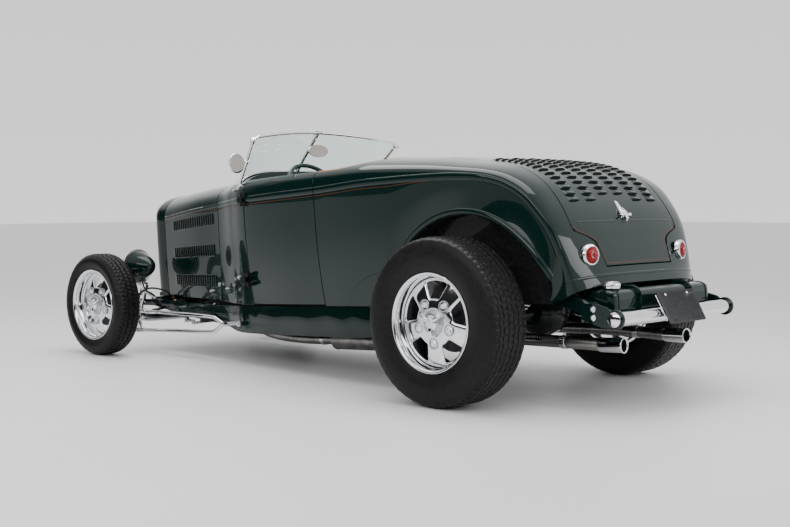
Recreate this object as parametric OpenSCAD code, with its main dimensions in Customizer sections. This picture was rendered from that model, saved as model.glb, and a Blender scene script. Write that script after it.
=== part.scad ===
// Street rod roadster: an open two-seat car on a ladder frame, with bare wheels,
// a dropped front axle on a cross leaf, a three-piece hood and a round tail with a deck lid.
// +X is forward, +Y is the car's left and +Z is up. The origin is on the ground,
// midway between the car's front and rear ends.

/* [Overall] */
// Distance between the front and rear axles
wheelbase = 2692; // [2300:1:3300]
// Width of the body at its widest place, above the rear wheels
body_w = 1222; // [1020:1:1470]
// Distance between the middles of the front tyres
front_track = 1400; // [1380:1:1700]
// Distance between the middles of the rear tyres
rear_track = 1414; // [1400:1:1700]

/* [Stance] */
// Height of the frame's top line above the rear axle's centre
rear_stance = 52; // [30:1:90]
// Height of the frame's top line above the front axle's centre, negative when it is lower
front_stance = -27; // [-40:1:20]

/* [Tyres and wheels] */
// Outer diameter of a front tyre
front_tyre_d = 594; // [560:1:720]
// Width of a front tyre
front_tyre_w = 157; // [130:1:190]
// Diameter of a front rim over its flanges
front_rim_d = 412; // [340:1:440]
// Outer diameter of a rear tyre
rear_tyre_d = 745; // [620:1:900]
// Width of a rear tyre
rear_tyre_w = 240; // [200:1:290]
// Diameter of a rear rim over its flanges
rear_rim_d = 441; // [370:1:530]
// Number of windows in a wheel's disc
wheel_windows = 5; // [3:1:8]

/* [Body] */
// Width of the grille shell where the hood meets it
shell_w = 524; // [440:1:630]
// Width of the cowl where the hood meets it
cowl_w = 800; // [720:1:960]
// Distance from the rear axle to the front of the cowl
cowl_x = 1951; // [1900:1:2100]
// Distance from the front axle back to the grille shell's seam
shell_setback = 48; // [20:1:120]
// Depth of the grille shell from its seam to its nose
shell_depth = 126; // [100:1:160]
// Thickness of the cowl and the rear body, skin and inner structure together
wall = 30; // [20:1:36]
// Thickness of a door
door_t = 52; // [40:1:64]
// Thickness of the deck lid
lid_t = 22; // [12:1:28]
// Thickness of the hood's panels
hood_t = 6; // [3:1:8]
// Gap round the doors, the deck lid and the hood
gap = 6; // [5:1:8]
// Space between a rear tyre's tread and its arch
arch_gap = 105; // [60:1:130]
// Height of the cockpit's rim at the doors above the frame
rim_z = 680; // [660:1:700]

/* [Frame] */
// Width of a frame rail
rail_w = 46; // [36:1:60]
// Depth of a frame rail between the axles
rail_h = 150; // [120:1:175]
// Distance from the car's middle to a rail's outer face at the front
rail_front_y = 335; // [300:1:350]
// Distance from the car's middle to a rail's outer face above the rear axle
rail_rear_y = 440; // [400:1:450]
// Thickness of the floor
floor_t = 10; // [6:1:16]

/* [Front suspension] */
// How far the axle's beam hangs below the wheel centres
axle_drop = 105; // [80:1:120]
// Radius of the axle's beam
beam_r = 24; // [18:1:28]
// Distance from the car's middle to a kingpin
kingpin_y = 590; // [560:1:610]
// Length of a steering arm, from the kingpin back to the tie rod
arm_back = 130; // [100:1:150]
// Radius of a hairpin's tube
hairpin_r = 11; // [9:1:13]

/* [Cockpit] */
// Diameter of the steering wheel
steering_wheel_d = 370; // [320:1:380]
// Distance from the car's middle to the steering column
steering_y = 300; // [280:1:310]
// Width of the seat
seat_w = 880; // [760:1:920]
// Thickness of the seat's cushion
cushion_t = 170; // [130:1:190]

/* [Rear] */
// Radius of the rear bar
bar_r = 31; // [24:1:36]
// Width of the licence plate
plate_w = 305; // [250:1:330]
// Height of the licence plate
plate_h = 152; // [120:1:170]
// Outer radius of a tailpipe
pipe_r = 32; // [25:1:38]
// Distance from the car's middle to the end of a tailpipe
tailpipe_y = 259; // [220:1:290]
// Width of the fuel tank
tank_w = 780; // [660:1:790]

/* [Hidden] */
$fn = 48;

body_green = [0.01, 0.09, 0.075];
frame_green = [0.01, 0.07, 0.06];
polished = [0.86, 0.87, 0.88];
dark_metal = [0.16, 0.16, 0.17];
tan_leather = [0.52, 0.25, 0.10];
tyre_black = [0.05, 0.05, 0.05];
seat_gap = 0.3;

// The frame's top line leans forward by the rake
base_rear = rear_tyre_d / 2 + rear_stance;
base_front = front_tyre_d / 2 + front_stance;
rake = asin((base_rear - base_front) / wheelbase);

// Licence plate, in the frame's own level axes
plate_low = [-779, -99];
plate_lean = 25;
plate_t = 3;

// The car reaches from the plate's lower edge to the front tyres' tread
rear_reach = -(plate_low[0] * cos(rake) + plate_low[1] * sin(rake));
front_reach = wheelbase + front_tyre_d / 2;
rear_x = (rear_reach - front_reach) / 2;
front_x = rear_x + wheelbase;
front_z = front_tyre_d / 2;
rear_z = rear_tyre_d / 2;

// A ground point [x from the rear axle, z] seen in the frame's level axes, and back
function level(p) = [
    p[0] * cos(rake) - (p[1] - base_rear) * sin(rake),
    p[0] * sin(rake) + (p[1] - base_rear) * cos(rake)
];
axle_rear = level([0, rear_z]);
axle_front = level([wheelbase, front_z]);

module on_frame() {
    translate([rear_x, 0, base_rear])
        rotate([0, rake, 0])
            children();
}
module both_sides() {
    children();
    mirror([0, 1, 0]) children();
}

// Smooth curve through a list of knots; s counts the knots from 0
function knot(k, i) =
    i < 0 ? 2 * k[0] - k[1]
    : i >= len(k) ? 2 * k[len(k) - 1] - k[len(k) - 2]
    : k[i];
function spline(k, s) =
    let (i = max(0, min(len(k) - 2, floor(s))), t = s - i,
         a = knot(k, i - 1), b = k[i], c = k[i + 1], d = knot(k, i + 2))
    b + t * ((c - a) / 2 + t * (a - 2.5 * b + 2 * c - d / 2
        + t * (1.5 * (b - c) + (d - a) / 2)));
function curve(k, steps) = [for (i = [0:steps]) spline(k, i * (len(k) - 1) / steps)];
function mix(a, b, t) = a + (b - a) * t;
function unit(v) = v / norm(v);
function steps(a, b, n) = [for (i = [0:n]) mix(a, b, i / n)];

// ---- The body's surface, in the frame's level axes ----
shell_x = axle_front[0] - shell_setback;
arch_r = rear_tyre_d / 2 + arch_gap;
half = body_w / 2;
hood_mid = (shell_x + cowl_x) / 2;

// Stations along the body: belt [x, y, z], top centre [x, z] and roundness of the section.
// Stations 0 to 2 are the hood, 2 to 4 the cowl, 4 to 6 the door, and the rest fan round
// the tail, down to the lower edge of the tail panel.
door_front = 4;
door_rear = 6;
lid_front = 10;
lid_rear = 18;
tail_end = 19;
cockpit_end = 8.4;
belt = [
    [shell_x, shell_w / 2, 528], [hood_mid, (shell_w + cowl_w) / 4 + 6, 552],
    [cowl_x, cowl_w / 2, 570], [1770, half - 156, 577], [1594, half - 106, 583],
    [1275, half - 62, 588], [957, half - 33, 592], [812, half - 19, 596],
    [602, half - 5, 604], [404, half, 604], [215, half - 3, 599], [34, half - 9, 590],
    [-138, half - 19, 570], [-247, half - 31, 537], [-336, half - 47, 479],
    [-397, half - 61, 405], [-445, half - 78, 327], [-475, half - 96, 235],
    [-482, half - 111, 130], [-470, half - 124, 28]
];
crest = [
    [shell_x, 670], [hood_mid, 694], [cowl_x, 711], [1770, 727], [1594, 735],
    [1275, 738], [957, 736], [790, 734], [600, 729], [430, 717], [200, 697], [40, 674],
    [-120, 648], [-240, 612], [-345, 548], [-420, 462], [-473, 370], [-515, 262],
    [-550, 160], [-580, 83]
];
round_n = [
    2.3, 2.35, 2.5, 2.9, 3.2, 3.4, 3.5, 3.5, 3.4, 3.2, 3.0, 2.9, 2.9, 3.0, 3.1, 3.2,
    3.4, 3.5, 3.6, 3.6
];
sill = [
    [shell_x, shell_w / 2 - 12, 50], [hood_mid, (shell_w + cowl_w) / 4 - 8, 35],
    [cowl_x, cowl_w / 2 - 15, 20], [1770, half - 186, 8], [1594, half - 152, 4],
    [1275, half - 108, 4], [957, half - 82, 4], [800, half - 70, 4],
    [(800 + arch_r) / 2, half - 62, 4], [arch_r, half - 55, 4]
];
// Angle of the arch's lip about the axle from station 9 to 17, then the rear corner
arch_angle = [6, 32, 62, 90, 110, 126, 139, 150, 159];
arch_y = [55, 42, 32, 26, 26, 30, 40, 58, 84];
rear_corner = [[-443, half - 84, 122], [-432, half - 104, 70], [-405, half - 120, 20]];
function lip(s) =
    let (a = spline(arch_angle, s - 9))
    [axle_rear[0] + arch_r * cos(a), half - spline(arch_y, s - 9),
        axle_rear[1] + arch_r * sin(a)];
function low(s) =
    s < 9 ? spline(sill, s)
    : s < 17 ? lip(s)
    : lip(17) + spline(rear_corner, s - 17) - rear_corner[0];

// Point of the left half at station s; v runs 0 at the lower edge, 1 at the belt, 2 on top
tuck = 2.2;
function skin(s, v) =
    let (b = spline(belt, s), c = spline(crest, s), n = spline(round_n, s), l = low(s))
    v <= 1 ? [mix(l[0], b[0], v), mix(l[1], b[1], 1 - pow(1 - v, tuck)), mix(l[2], b[2], v)]
    : let (a = 90 * (v - 1), r = pow(pow(cos(a), n) + pow(sin(a), n), 1 / n))
      [mix(b[0], c[0], sin(a) / r), b[1] * cos(a) / r, mix(b[2], c[1], sin(a) / r)];
function v_at_z(s, z) =
    let (b = spline(belt, s)[2], c = spline(crest, s)[1], n = spline(round_n, s),
         f = (z - b) / (c - b))
    1 + atan(f / pow(1 - pow(f, n), 1 / n)) / 90;
function v_at_y(s, y) =
    let (n = spline(round_n, s), g = min(0.999, y / spline(belt, s)[1]))
    1 + atan(pow(pow(g, -n) - 1, 1 / n)) / 90;
// The whole section: v above 2 comes down the right side
function whole(s, v) = v <= 2 ? skin(s, v) : let (p = skin(s, 4 - v)) [p[0], -p[1], p[2]];
nudge = 0.01;
function normal(s, v) =
    let (s0 = max(0, s - nudge), s1 = min(tail_end, s + nudge),
         v0 = max(0, v - nudge), v1 = min(4, v + nudge))
    unit(cross(whole(s1, v) - whole(s0, v), whole(s, v1) - whole(s, v0)));
// Stations that cover a length along the belt near station s
function span(s, length) =
    length / norm(spline(belt, s + 0.05) - spline(belt, s - 0.05)) / 10;
function crest_span(s, length) =
    length / norm(spline(crest, s + 0.05) - spline(crest, s - 0.05)) / 10;

// Closed shell between an outer and an inner grid of points; a cell that keep() refuses
// is left open
module shell(outer, inner, keep = function(i, j) true) {
    rows = len(outer);
    cols = len(outer[0]);
    function here(i, j) = i >= 0 && j >= 0 && i < rows - 1 && j < cols - 1 && keep(i, j);
    function o(i, j) = i * cols + j;
    function n(i, j) = rows * cols + o(i, j);
    function quad(a, b, c, d) = [[a, b, c], [a, c, d]];
    faces = [
        for (i = [0:rows - 2], j = [0:cols - 2]) if (here(i, j)) each concat(
            quad(o(i, j), o(i, j + 1), o(i + 1, j + 1), o(i + 1, j)),
            quad(n(i, j), n(i + 1, j), n(i + 1, j + 1), n(i, j + 1)),
            here(i, j - 1) ? [] : quad(o(i, j), o(i + 1, j), n(i + 1, j), n(i, j)),
            here(i, j + 1) ? []
                : quad(o(i + 1, j + 1), o(i, j + 1), n(i, j + 1), n(i + 1, j + 1)),
            here(i - 1, j) ? [] : quad(o(i, j + 1), o(i, j), n(i, j), n(i, j + 1)),
            here(i + 1, j) ? []
                : quad(o(i + 1, j), o(i + 1, j + 1), n(i + 1, j + 1), n(i + 1, j))
        )
    ];
    polyhedron([for (g = [outer, inner]) for (row = g) each row], faces, convexity = 8);
}
// Part of the body's surface as a panel: rows of stations, and for each row its v values
module panel(rows, v_of, thick, keep = function(i, j) true, proud = 0) {
    outer = [for (s = rows) [for (v = v_of(s)) whole(s, v) + proud * normal(s, v)]];
    inner = [for (s = rows) [for (v = v_of(s)) whole(s, v) - thick * normal(s, v)]];
    shell(outer, inner, keep);
}
// Round tube along a path
module tube(path, r, sides = 12, ref = [0, 0, 1]) {
    last = len(path) - 1;
    rings = [
        for (i = [0:last])
            let (d = unit(path[min(i + 1, last)] - path[max(i - 1, 0)]),
                 a = unit(cross(ref, d)), b = cross(d, a))
            for (k = [0:sides - 1])
                path[i] + r * (cos(360 * k / sides) * a + sin(360 * k / sides) * b)
    ];
    walls = [
        for (i = [0:last - 1], k = [0:sides - 1])
            let (p = i * sides + k, q = i * sides + (k + 1) % sides)
            each [[p, p + sides, q + sides], [p, q + sides, q]]
    ];
    polyhedron(rings, concat(
        [[for (k = [0:sides - 1]) k]], walls,
        [[for (k = [sides - 1:-1:0]) last * sides + k]]
    ));
}
// Joins faceted pieces into one mesh
module joined() {
    $fn = 24;
    resize([0, 0, 0]) union() children();
}
module rod(a, b, r) {
    d = b - a;
    translate(a)
        rotate([0, acos(d[2] / norm(d)), atan2(d[1], d[0])])
            cylinder(r = r, h = norm(d));
}
module across(d, w) { rotate([90, 0, 0]) cylinder(d = d, h = w, center = true); }

// ---- Frame ----
// Stations of the left rail: x, outer face y, top z, depth
rail_rows = [
    [-600, rail_rear_y + 8, 8, 66], [-420, rail_rear_y + 4, 66, 66],
    [-200, rail_rear_y, 118, 70], [-50, rail_rear_y, 118, 70], [100, rail_rear_y, 118, 70],
    [330, rail_rear_y + 4, 78, 92], [480, half - 100, -2, 122], [700, half - 78, -2, rail_h],
    [1000, half - 90, -2, rail_h], [1594, half - 158, -2, rail_h],
    [1800, half - 194, -2, rail_h - 8], [cowl_x, cowl_w / 2 - 18, -2, 110],
    [(cowl_x + axle_front[0]) / 2, (cowl_w / 2 - 18 + rail_front_y) / 2, 12, 80],
    [axle_front[0] - 120, rail_front_y + 4, 28, 56], [axle_front[0], rail_front_y, 34, 40],
    [axle_front[0] + 150, rail_front_y, 34, 38]
];
module rail() {
    sections = curve(rail_rows, 3 * (len(rail_rows) - 1));
    function corners(r) = [
        [r[0], r[1], r[2] - r[3]], [r[0], r[1], r[2]],
        [r[0], r[1] - rail_w, r[2]], [r[0], r[1] - rail_w, r[2] - r[3]]
    ];
    points = [for (r = sections) each corners(r)];
    last = len(sections) - 1;
    polyhedron(points, concat(
        [[0, 1, 2, 3]],
        [for (i = [0:last - 1], k = [0:3])
            let (p = 4 * i + k, q = 4 * i + (k + 1) % 4) each [[p, p + 4, q + 4], [p, q + 4, q]]],
        [[for (k = [3:-1:0]) 4 * last + k]]
    ));
}
module crossmember(x, y, z, w, h) {
    translate([x - w / 2, -y, z]) cube([w, 2 * y, h]);
}
front_cross_z = axle_front[1] - 5;
front_cross_h = 26;
gearbox_mount_x = cowl_x - 330;
engine_mount_x = cowl_x + 260;
module frame_rails() color(frame_green) on_frame() joined() {
    both_sides() rail();
    crossmember(axle_front[0], rail_front_y - 30, front_cross_z, 70, front_cross_h);
    crossmember(gearbox_mount_x, half - 190, gearbox_low(gearbox_mount_x + 45) - 44, 90, 43.7);
    crossmember(engine_mount_x, rail_front_y, engine_low - 44, 70, 43.7);
    crossmember(480, half - 120, -150, 60, 40);
    crossmember(-250, rail_rear_y - 20, 66, 58, 40);
    crossmember(tank_x[1] + 20.3, rail_rear_y - 10, 20, 40, 40);
    // outriggers that carry the radius rods' rear ends
    both_sides() translate([rod_pivot[0], half - 220, rod_pivot[1]]) rotate([-90, 0, 0])
        cylinder(r = 14, h = rod_rear[1] - 10.3 - half + 220);
}

// ---- Floor, firewall and toe board ----
tunnel_w = 250;
floor_low = -1.7;
trunk_floor_z = 122.1 + floor_t;
module floor_pan() color(dark_metal) on_frame() joined() {
    // cockpit floor between the door sills
    difference() {
        translate([0, 0, floor_low]) linear_extrude(floor_t) polygon(concat(
            [for (x = [520, 700, 957, 1275, 1594, 1770, cowl_x - 20])
                [x, floor_edge(x)]],
            [for (x = [cowl_x - 20, 1770, 1594, 1275, 957, 700, 520])
                [x, -floor_edge(x)]]
        ));
        translate([1300, -tunnel_w / 2, -10]) cube([cowl_x - 1300, tunnel_w, 40]);
    }
    // gearbox tunnel, wide at the firewall
    tunnel();
    // step up to the trunk floor over the rear axle
    translate([490, -trunk_half, floor_low]) cube([30, 2 * trunk_half, trunk_floor_z - floor_low]);
    translate([-500, -trunk_half, trunk_floor_z - floor_t])
        cube([1020, 2 * trunk_half, floor_t]);
    // it meets the wheel wells at both sides
    translate([-380, seat_gap - well_in, trunk_floor_z - floor_t])
        cube([780, 2 * (well_in - seat_gap), floor_t]);
    // firewall, open where the gearbox passes
    translate([cowl_x - 28, 0, 0]) rotate([90, 0, 90]) linear_extrude(floor_t) difference() {
        polygon(firewall_outline(cowl_x - 28, wall + 7.4));
        translate([-tunnel_w / 2, -50]) square([tunnel_w, 50 + 224]);
        translate([steering_y, column_low[2] + 27]) square([21, 43], center = true);
    }
    seat_riser();
}
trunk_half = rail_rear_y - 2;
function floor_edge(x) = x > 1700 ? cowl_w / 2 - 15 - wall - 6 + (cowl_x - x) * 0.12
    : lookup(x, [[520, half - 120], [957, half - 82 - door_t - 12],
                 [1594, half - 152 - door_t - 8], [1700, half - 190 - 20]]);
module tunnel() difference() {
    hull() {
        translate([1300, -tunnel_w / 2 - floor_t, 4]) cube([10, tunnel_w + 2 * floor_t, 90]);
        translate([cowl_x - 38, -tunnel_w / 2 - 40, 4]) cube([10, tunnel_w + 80, 230]);
    }
    hull() {
        translate([1290, -tunnel_w / 2, -20]) cube([10, tunnel_w, 104]);
        translate([cowl_x, -tunnel_w / 2 - 30, -20]) cube([10, tunnel_w + 60, 244]);
    }
}
function station_at(x) = 2 + (cowl_x - x) / (cowl_x - 1770);
function firewall_outline(x, inset) =
    let (s = station_at(x))
    concat([[floor_edge(x), 0]],
        [for (v = steps(0.05, 4 - 0.05, 40))
            let (p = whole(s, v) - inset * normal(s, v)) [p[1], p[2]]],
        [[-floor_edge(x), 0]]);

// ---- Body ----
cowl_cols = concat(steps(0, 1, 5), steps(1.12, 2.88, 18), steps(3, 4, 5));
module cowl() color(body_green) on_frame() joined() {
    panel(concat([2, 2.12], steps(2.33, 3.67, 6), [3.88, door_front - span(4, gap) / 2]),
        function(s) cowl_cols, wall);
    both_sides() door_hinge_pins();
    // rod that carries the hood's two halves
    rod([cowl_x - 20, 0, crest[2][1] - 4.6 + 0.5], [shell_x + 0.4, 0, crest[0][1] - 4.6], hood_rod_r);
}
hood_rod_r = 5.2;
// Outside hinges: the cowl's barrel and leaf, with a door barrel above and below
door_front_x = belt[4][0];
hinge_out = 16;
hinge_r = 7;
hinge_z = [560, 130];
pin_h = 30;
leaf_l = 26;
hinge_y = skin(door_front, 0.85)[1] + hinge_out;
module hinge_leaf(z, h, dir) {
    translate([door_front_x, hinge_y, z]) cylinder(r = hinge_r, h = h, $fn = 32);
    y = skin(door_front, max(0, min(1, z / belt[4][2])))[1] - 6;
    translate([door_front_x + (dir > 0 ? 4 : -4 - leaf_l), y, z]) cube([leaf_l, hinge_y - y + 3, h]);
    translate([door_front_x - (dir > 0 ? 0 : 6), hinge_y - 3, z]) cube([6, 6, h]);
}
module door_hinge_pins() {
    for (z = hinge_z) hinge_leaf(z, pin_h, 1);
}
// Edge of the cockpit and of the deck lid's opening, as a distance from the car's middle
corner_n = 2.4;
rear_rim_y = half - 216;
lid_half = [[10, 395], [12, 404], [14, 413], [16.2, 420], [16.45, 408], [16.7, 330],
            [16.9, 290], [17.2, 276], [18, 262]];
function side_rim_y(s) = skin(s, v_at_z(s, rim_z))[1];
function opening_y(s) =
    s < 7 ? side_rim_y(s)
    : s < cockpit_end ? let (t = (s - 7) / (cockpit_end - 7))
        mix(rear_rim_y, side_rim_y(7), pow(1 - pow(t, corner_n), 1 / corner_n))
    : s < lid_front ? rear_rim_y
    : lookup(s, lid_half) + (rear_rim_y - 395);

function body_cols(s, y_edge) =
    let (e = v_at_y(s, y_edge), half_cols = concat(
        steps(0, 1, 5), [for (t = steps(0, 1, 5)) if (t > 0) mix(1, e, t)],
        [for (t = steps(0, 1, 3)) if (t > 0) mix(e, 2, t)]))
    concat(half_cols, [for (i = [len(half_cols) - 2:-1:0]) 4 - half_cols[i]]);
edge_col = 10;
last_col = 26;
lid_gap_front = crest_span(lid_front, gap / 2);
lid_gap_rear = crest_span(lid_rear, gap / 2);
lid_steps = concat(steps(10.5, 16, 11), [16.25, 16.45, 16.6, 16.75, 16.9, 17.1, 17.4, 17.75]);
rear_rows = concat(
    [door_rear + span(6, gap) / 2], steps(6.25, 7, 3), [7.25, 7.5, 7.75, 7.95, 8.12, 8.25, 8.34, 8.4],
    [8.7, 9, 9.33, 9.67, lid_front - lid_gap_front],
    lid_steps, [lid_rear + lid_gap_rear, 18.3, 18.65, tail_end]
);
// The gap is measured across the body, so it is wider where the opening's edge turns in
function side_gap(s) = s > 16.3 && s < 17.1 ? 1.15 * gap : gap / 2;
lid_hinge = [crest[lid_front][0], crest[lid_front][1]];
module lid_barrels(r, l) {
    both_sides() translate([lid_hinge[0], 225, lid_hinge[1]]) across(2 * r, l);
}
module rear_shell(thick) {
    panel(rear_rows, function(s) body_cols(s, opening_y(s) + side_gap(s)), thick,
        function(i, j)
            j < edge_col || j >= last_col - edge_col || rear_rows[i] > lid_rear
            || (rear_rows[i] >= cockpit_end && rear_rows[i + 1] < lid_front));
}
module rear_body() color(body_green) on_frame() joined() {
    rear_shell(wall);
    lid_barrels(6, 60);
}

module wheel_wells() color(dark_metal) on_frame() joined() difference() {
    both_sides() well();
    rear_shell(wall + seat_gap);
}
module well()
    translate([axle_rear[0], 0, axle_rear[1]]) difference() {
        translate([0, (well_in + well_out) / 2, 0]) across(2 * (arch_r - seat_gap), well_out - well_in);
        translate([0, (well_in + well_out) / 2 + well_t, 0])
            across(2 * (arch_r - seat_gap - well_t), well_out - well_in);
        translate([-arch_r - 1, 0, -arch_r - 1]) cube([2 * arch_r + 2, half, arch_r + 60]);
        translate([-arch_r - 1, 0, -1]) cube([90, half, 200]);
        translate([-arch_r - 1, 495, -1]) cube([arch_r - 320, half, 360]);
        translate([325, 0, -1]) cube([arch_r, half, 140]);
    }
well_t = 6;
well_in = rail_rear_y + 8;
well_out = half - 62;

module dashboard() color(body_green) on_frame() joined() {
    x = door_front_x + 12;
    s = station_at(x);
    translate([x, 0, 0]) rotate([90, 0, 90]) linear_extrude(22)
        intersection() {
            polygon(firewall_outline(x, wall + 4.5));
            translate([-half, 545]) square([2 * half, 300]);
        }
}

function door_cols(s) = concat(steps(0.012, 1, 6), [for (t = steps(0, 1, 5)) if (t > 0)
    mix(1, v_at_z(s, rim_z), t)]);
module door() {
    panel(steps(door_front + span(4, gap) / 2, door_rear - span(6, gap) / 2, 9),
        function(s) door_cols(s), door_t);
    for (z = hinge_z, side = [-20.5, pin_h + 0.5]) hinge_leaf(z + side, 20, -1);
}
module door_left() color(body_green) on_frame() joined() door();
module door_right() color(body_green) on_frame() mirror([0, 1, 0]) joined() door();

lid_rows = concat([lid_front + lid_gap_front], lid_steps, [lid_rear - lid_gap_rear]);
module deck_lid() color(body_green) on_frame() joined() difference() {
    panel(lid_rows, function(s)
        let (e = v_at_y(s, opening_y(s) - side_gap(s))) steps(e, 4 - e, 18), lid_t);
    lid_barrels(6.6, 61.2);
}

// ---- Hood and grille shell ----
hood_rows = [for (s = steps(0, 2, 10)) mix(span(0.1, gap), 2 - span(1.9, gap), s / 2)];
function belt_gap(s) = gap / 2 / (spline(belt, s)[2] - low(s)[2]);
module hood_top() {
    edge = 0.05;
    panel(hood_rows, function(s) steps(1 + edge / 2, v_at_y(s, hood_rod_r + 0.7), 9), hood_t);
}
module hood_left() color(body_green) on_frame() hood_top();
module hood_right() color(body_green) on_frame() mirror([0, 1, 0]) hood_top();
side_rows = [for (s = steps(0, 2, 10)) mix(span(0.1, 0.4), 2 - span(1.9, 0.4), s / 2)];
module hood_sides() color(body_green) on_frame() both_sides()
    panel(side_rows, function(s) steps(0.01, 1 - 2 * belt_gap(s), 7), hood_t);

// Nose of the shell: how far ahead of the seam, and how far in from the outline
nose = [[2, 0], [60, 1], [96, 8], [116, 22], [shell_depth, 42], [shell_depth - 6, 58]];
shell_t = 6;
grille_inset = 60;
function outline_normal(v) = let (n = normal(0, v)) unit([0, n[1], n[2]]);
function nose_point(v, x, inset) =
    let (p = whole(0, v), n = outline_normal(v))
    [shell_x + x, p[1] - inset * n[1], p[2] - inset * n[2]];
function nose_curve() = curve(nose, 9);
module grille_shell() color(body_green) on_frame() joined() {
    cols = concat(steps(0.0, 1, 6), steps(1.1, 2.9, 18), steps(3, 4, 6));
    rows = [for (i = [len(nose_curve()) - 1:-1:0]) nose_curve()[i]];
    shell(
        [for (r = rows) [for (v = cols) nose_point(v, r[0], r[1])]],
        [for (r = rows) [for (v = cols)
            nose_point(v, r[0] - shell_t * min(1, r[1] / 20), r[1] + shell_t * max(0.2, 1 - r[1] / 30))]]
    );
    translate([shell_x + 40, -shell_w / 2 + 10, front_cross_z + front_cross_h + seat_gap])
        cube([shell_depth - 60, shell_w - 20, 76 - front_cross_z - front_cross_h - seat_gap]);
}
grille_bars = 15;
grille_v = 10;
rail_back = 8;
module grille() color(polished) on_frame() {
    pitch = (shell_w / 2 - grille_inset - 14) / grille_bars;
    x0 = shell_x + shell_depth - 26;
    both_sides() {
        for (i = [0:grille_bars]) {
            y = 3 + i * pitch;
            translate([x0 - y * tan(grille_v), y - 2, 76])
                cube([14, 4, grille_top(y) - 76]);
        }
        for (z = [80, 250, 420]) translate([x0 - seat_gap, 0, z]) rotate([0, 0, grille_v])
            translate([-rail_back, 2, 0]) cube([rail_back, grille_bars * pitch, 6]);
    }
    // core of the radiator behind the bars
    translate([shell_x + 10, -shell_w / 2 + 24, 76]) cube([40, shell_w - 48, 450]);
    for (y = [-60, 60]) translate([shell_x + 50 + seat_gap, y - 6, 240]) cube([29, 12, 20]);
}
function grille_top(y) =
    let (b = shell_w / 2 - grille_inset, h = 670 - grille_inset - 528, n = 2.3)
    528 + h * pow(max(0, 1 - pow(y / b, n)), 1 / n) - 4;

// ---- Windshield: two flat panes in a V, laid back ----
pane_top = [[1521, 0, 947], [1430, half - 62, 893]];
pane_base = [[1722, 0], [1655, half - 132]];
frame_r = 9;
glass_t = 5;
function cowl_z(x, y) = let (s = station_at(x)) skin(s, v_at_y(s, abs(y)))[2];
function base_point(t) =
    let (p = mix(pane_base[0], pane_base[1], t), z = cowl_z(p[0], p[1])) [p[0], p[1], z + frame_r + 3];
function top_point(t) = mix(pane_top[0], pane_top[1], t) + [0, 0, 10 * sin(180 * t)];
module windshield_frame() color(polished) on_frame() joined() difference() {
    windshield_tubes();
    panel(steps(2, 4, 10), function(s) cowl_cols, wall, function(i, j) true, seat_gap);
}
module windshield_tubes(grow = 0) {
    both_sides() {
        tube([for (t = steps(-0.02, 1, 8)) base_point(t)], frame_r + grow, 10);
        tube(concat([for (t = steps(-0.02, 0.92, 8)) top_point(t)],
            [mix(top_point(0.975), base_point(1), 0.03)],
            [for (t = steps(0.12, 1, 6)) mix(top_point(1), base_point(1), t)]),
            frame_r + grow, 10, [1, 0, 0.3]);
        tube([base_point(1) + [-6, 4, 24], base_point(1) + [26, -14, -34]], 15, 12, [0, 1, 0]);
    }
    tube([base_point(0) - [0, 0, 6], top_point(0) + [0, 0, 4]], frame_r + 4 + grow, 14, [0, 1, 0]);
}
glass_inset = frame_r + 4;
function pane(t, w) =
    let (b = base_point(t), c = top_point(t), d = unit(c - b))
    mix(b + d * glass_inset, c - d * glass_inset, w);
module windshield_glass() color([0.75, 0.88, 0.84, 0.35]) on_frame() both_sides() {
    n = unit(cross(pane(0.5, 1) - pane(0.5, 0), pane(0.9, 0.5) - pane(0.1, 0.5)));
    ts = steps(0.045, 0.945, 10);
    shell([for (w = steps(0, 1, 3)) [for (t = ts) pane(t, w) - n * glass_t / 2]],
        [for (w = steps(0, 1, 3)) [for (t = ts) pane(t, w) + n * glass_t / 2]]);
}
post_mid = mix(base_point(1), top_point(1), 0.5);
module mirrors() color(polished) on_frame() joined() difference() {
    union() {
        // oval inside mirror on the centre post
        translate([1538, 0, 846]) rotate([0, -90, 0]) rotate([0, 0, 90])
            linear_extrude(14) scale([1, 0.45]) circle(74);
        tube([[1530, 0, 846], [1602, 0, 852]], 5, 8);
        // round mirror on the left post
        translate([1520, half - 16, 764]) rotate([0, 90, 0]) cylinder(r = 52, h = 16);
        tube([[1530, half - 16, 764], [1540, half - 50, 764], post_mid + [0, frame_r - 3, 0]], 6, 8);
    }
    windshield_tubes(seat_gap);
}

// ---- Steering ----
wheel_centre = [1225, steering_y, 600];
column_lean = 35;
wheel_r = steering_wheel_d / 2;
column_r = 22;
column_low = wheel_centre + 900 * [cos(column_lean), 0, -sin(column_lean)];
box_centre = [axle_front[0] - 215, 250, -20];
module along_column() {
    translate(wheel_centre) rotate([0, 90 + column_lean, 0]) children();
}
module steering_column() color(dark_metal) on_frame() {
    along_column() translate([0, 0, 60]) cylinder(r = column_r, h = 700);
    along_column() translate([0, 0, 760]) cylinder(r = 10, h = 145);
    rod(column_low, box_centre - [44, 0, 0], 10);
    translate(box_centre - [44, 38, 52]) cube([88, 84.5, 104]);
}
module steering_wheel() color(dark_metal) on_frame() along_column() {
    rotate_extrude() translate([wheel_r - 12, 0]) circle(12, $fn = 20);
    translate([0, 0, -6]) cylinder(r = 34, h = 65.6);
    for (a = [90, 210, 330]) rotate([0, 0, a])
        translate([26, -14, -3]) cube([wheel_r - 40, 28, 6]);
}

// The front axle is drawn level, about the middle of the front wheels
module at_front() { translate([front_x, 0, front_z]) children(); }
arm_in = 20;
arm_z = -84;
// The arm's boss stands this far above the tie rod's middle
tie_drop = 8;
tie_z = arm_z - 5 - tie_drop;
tie_r = 7.5;
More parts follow.
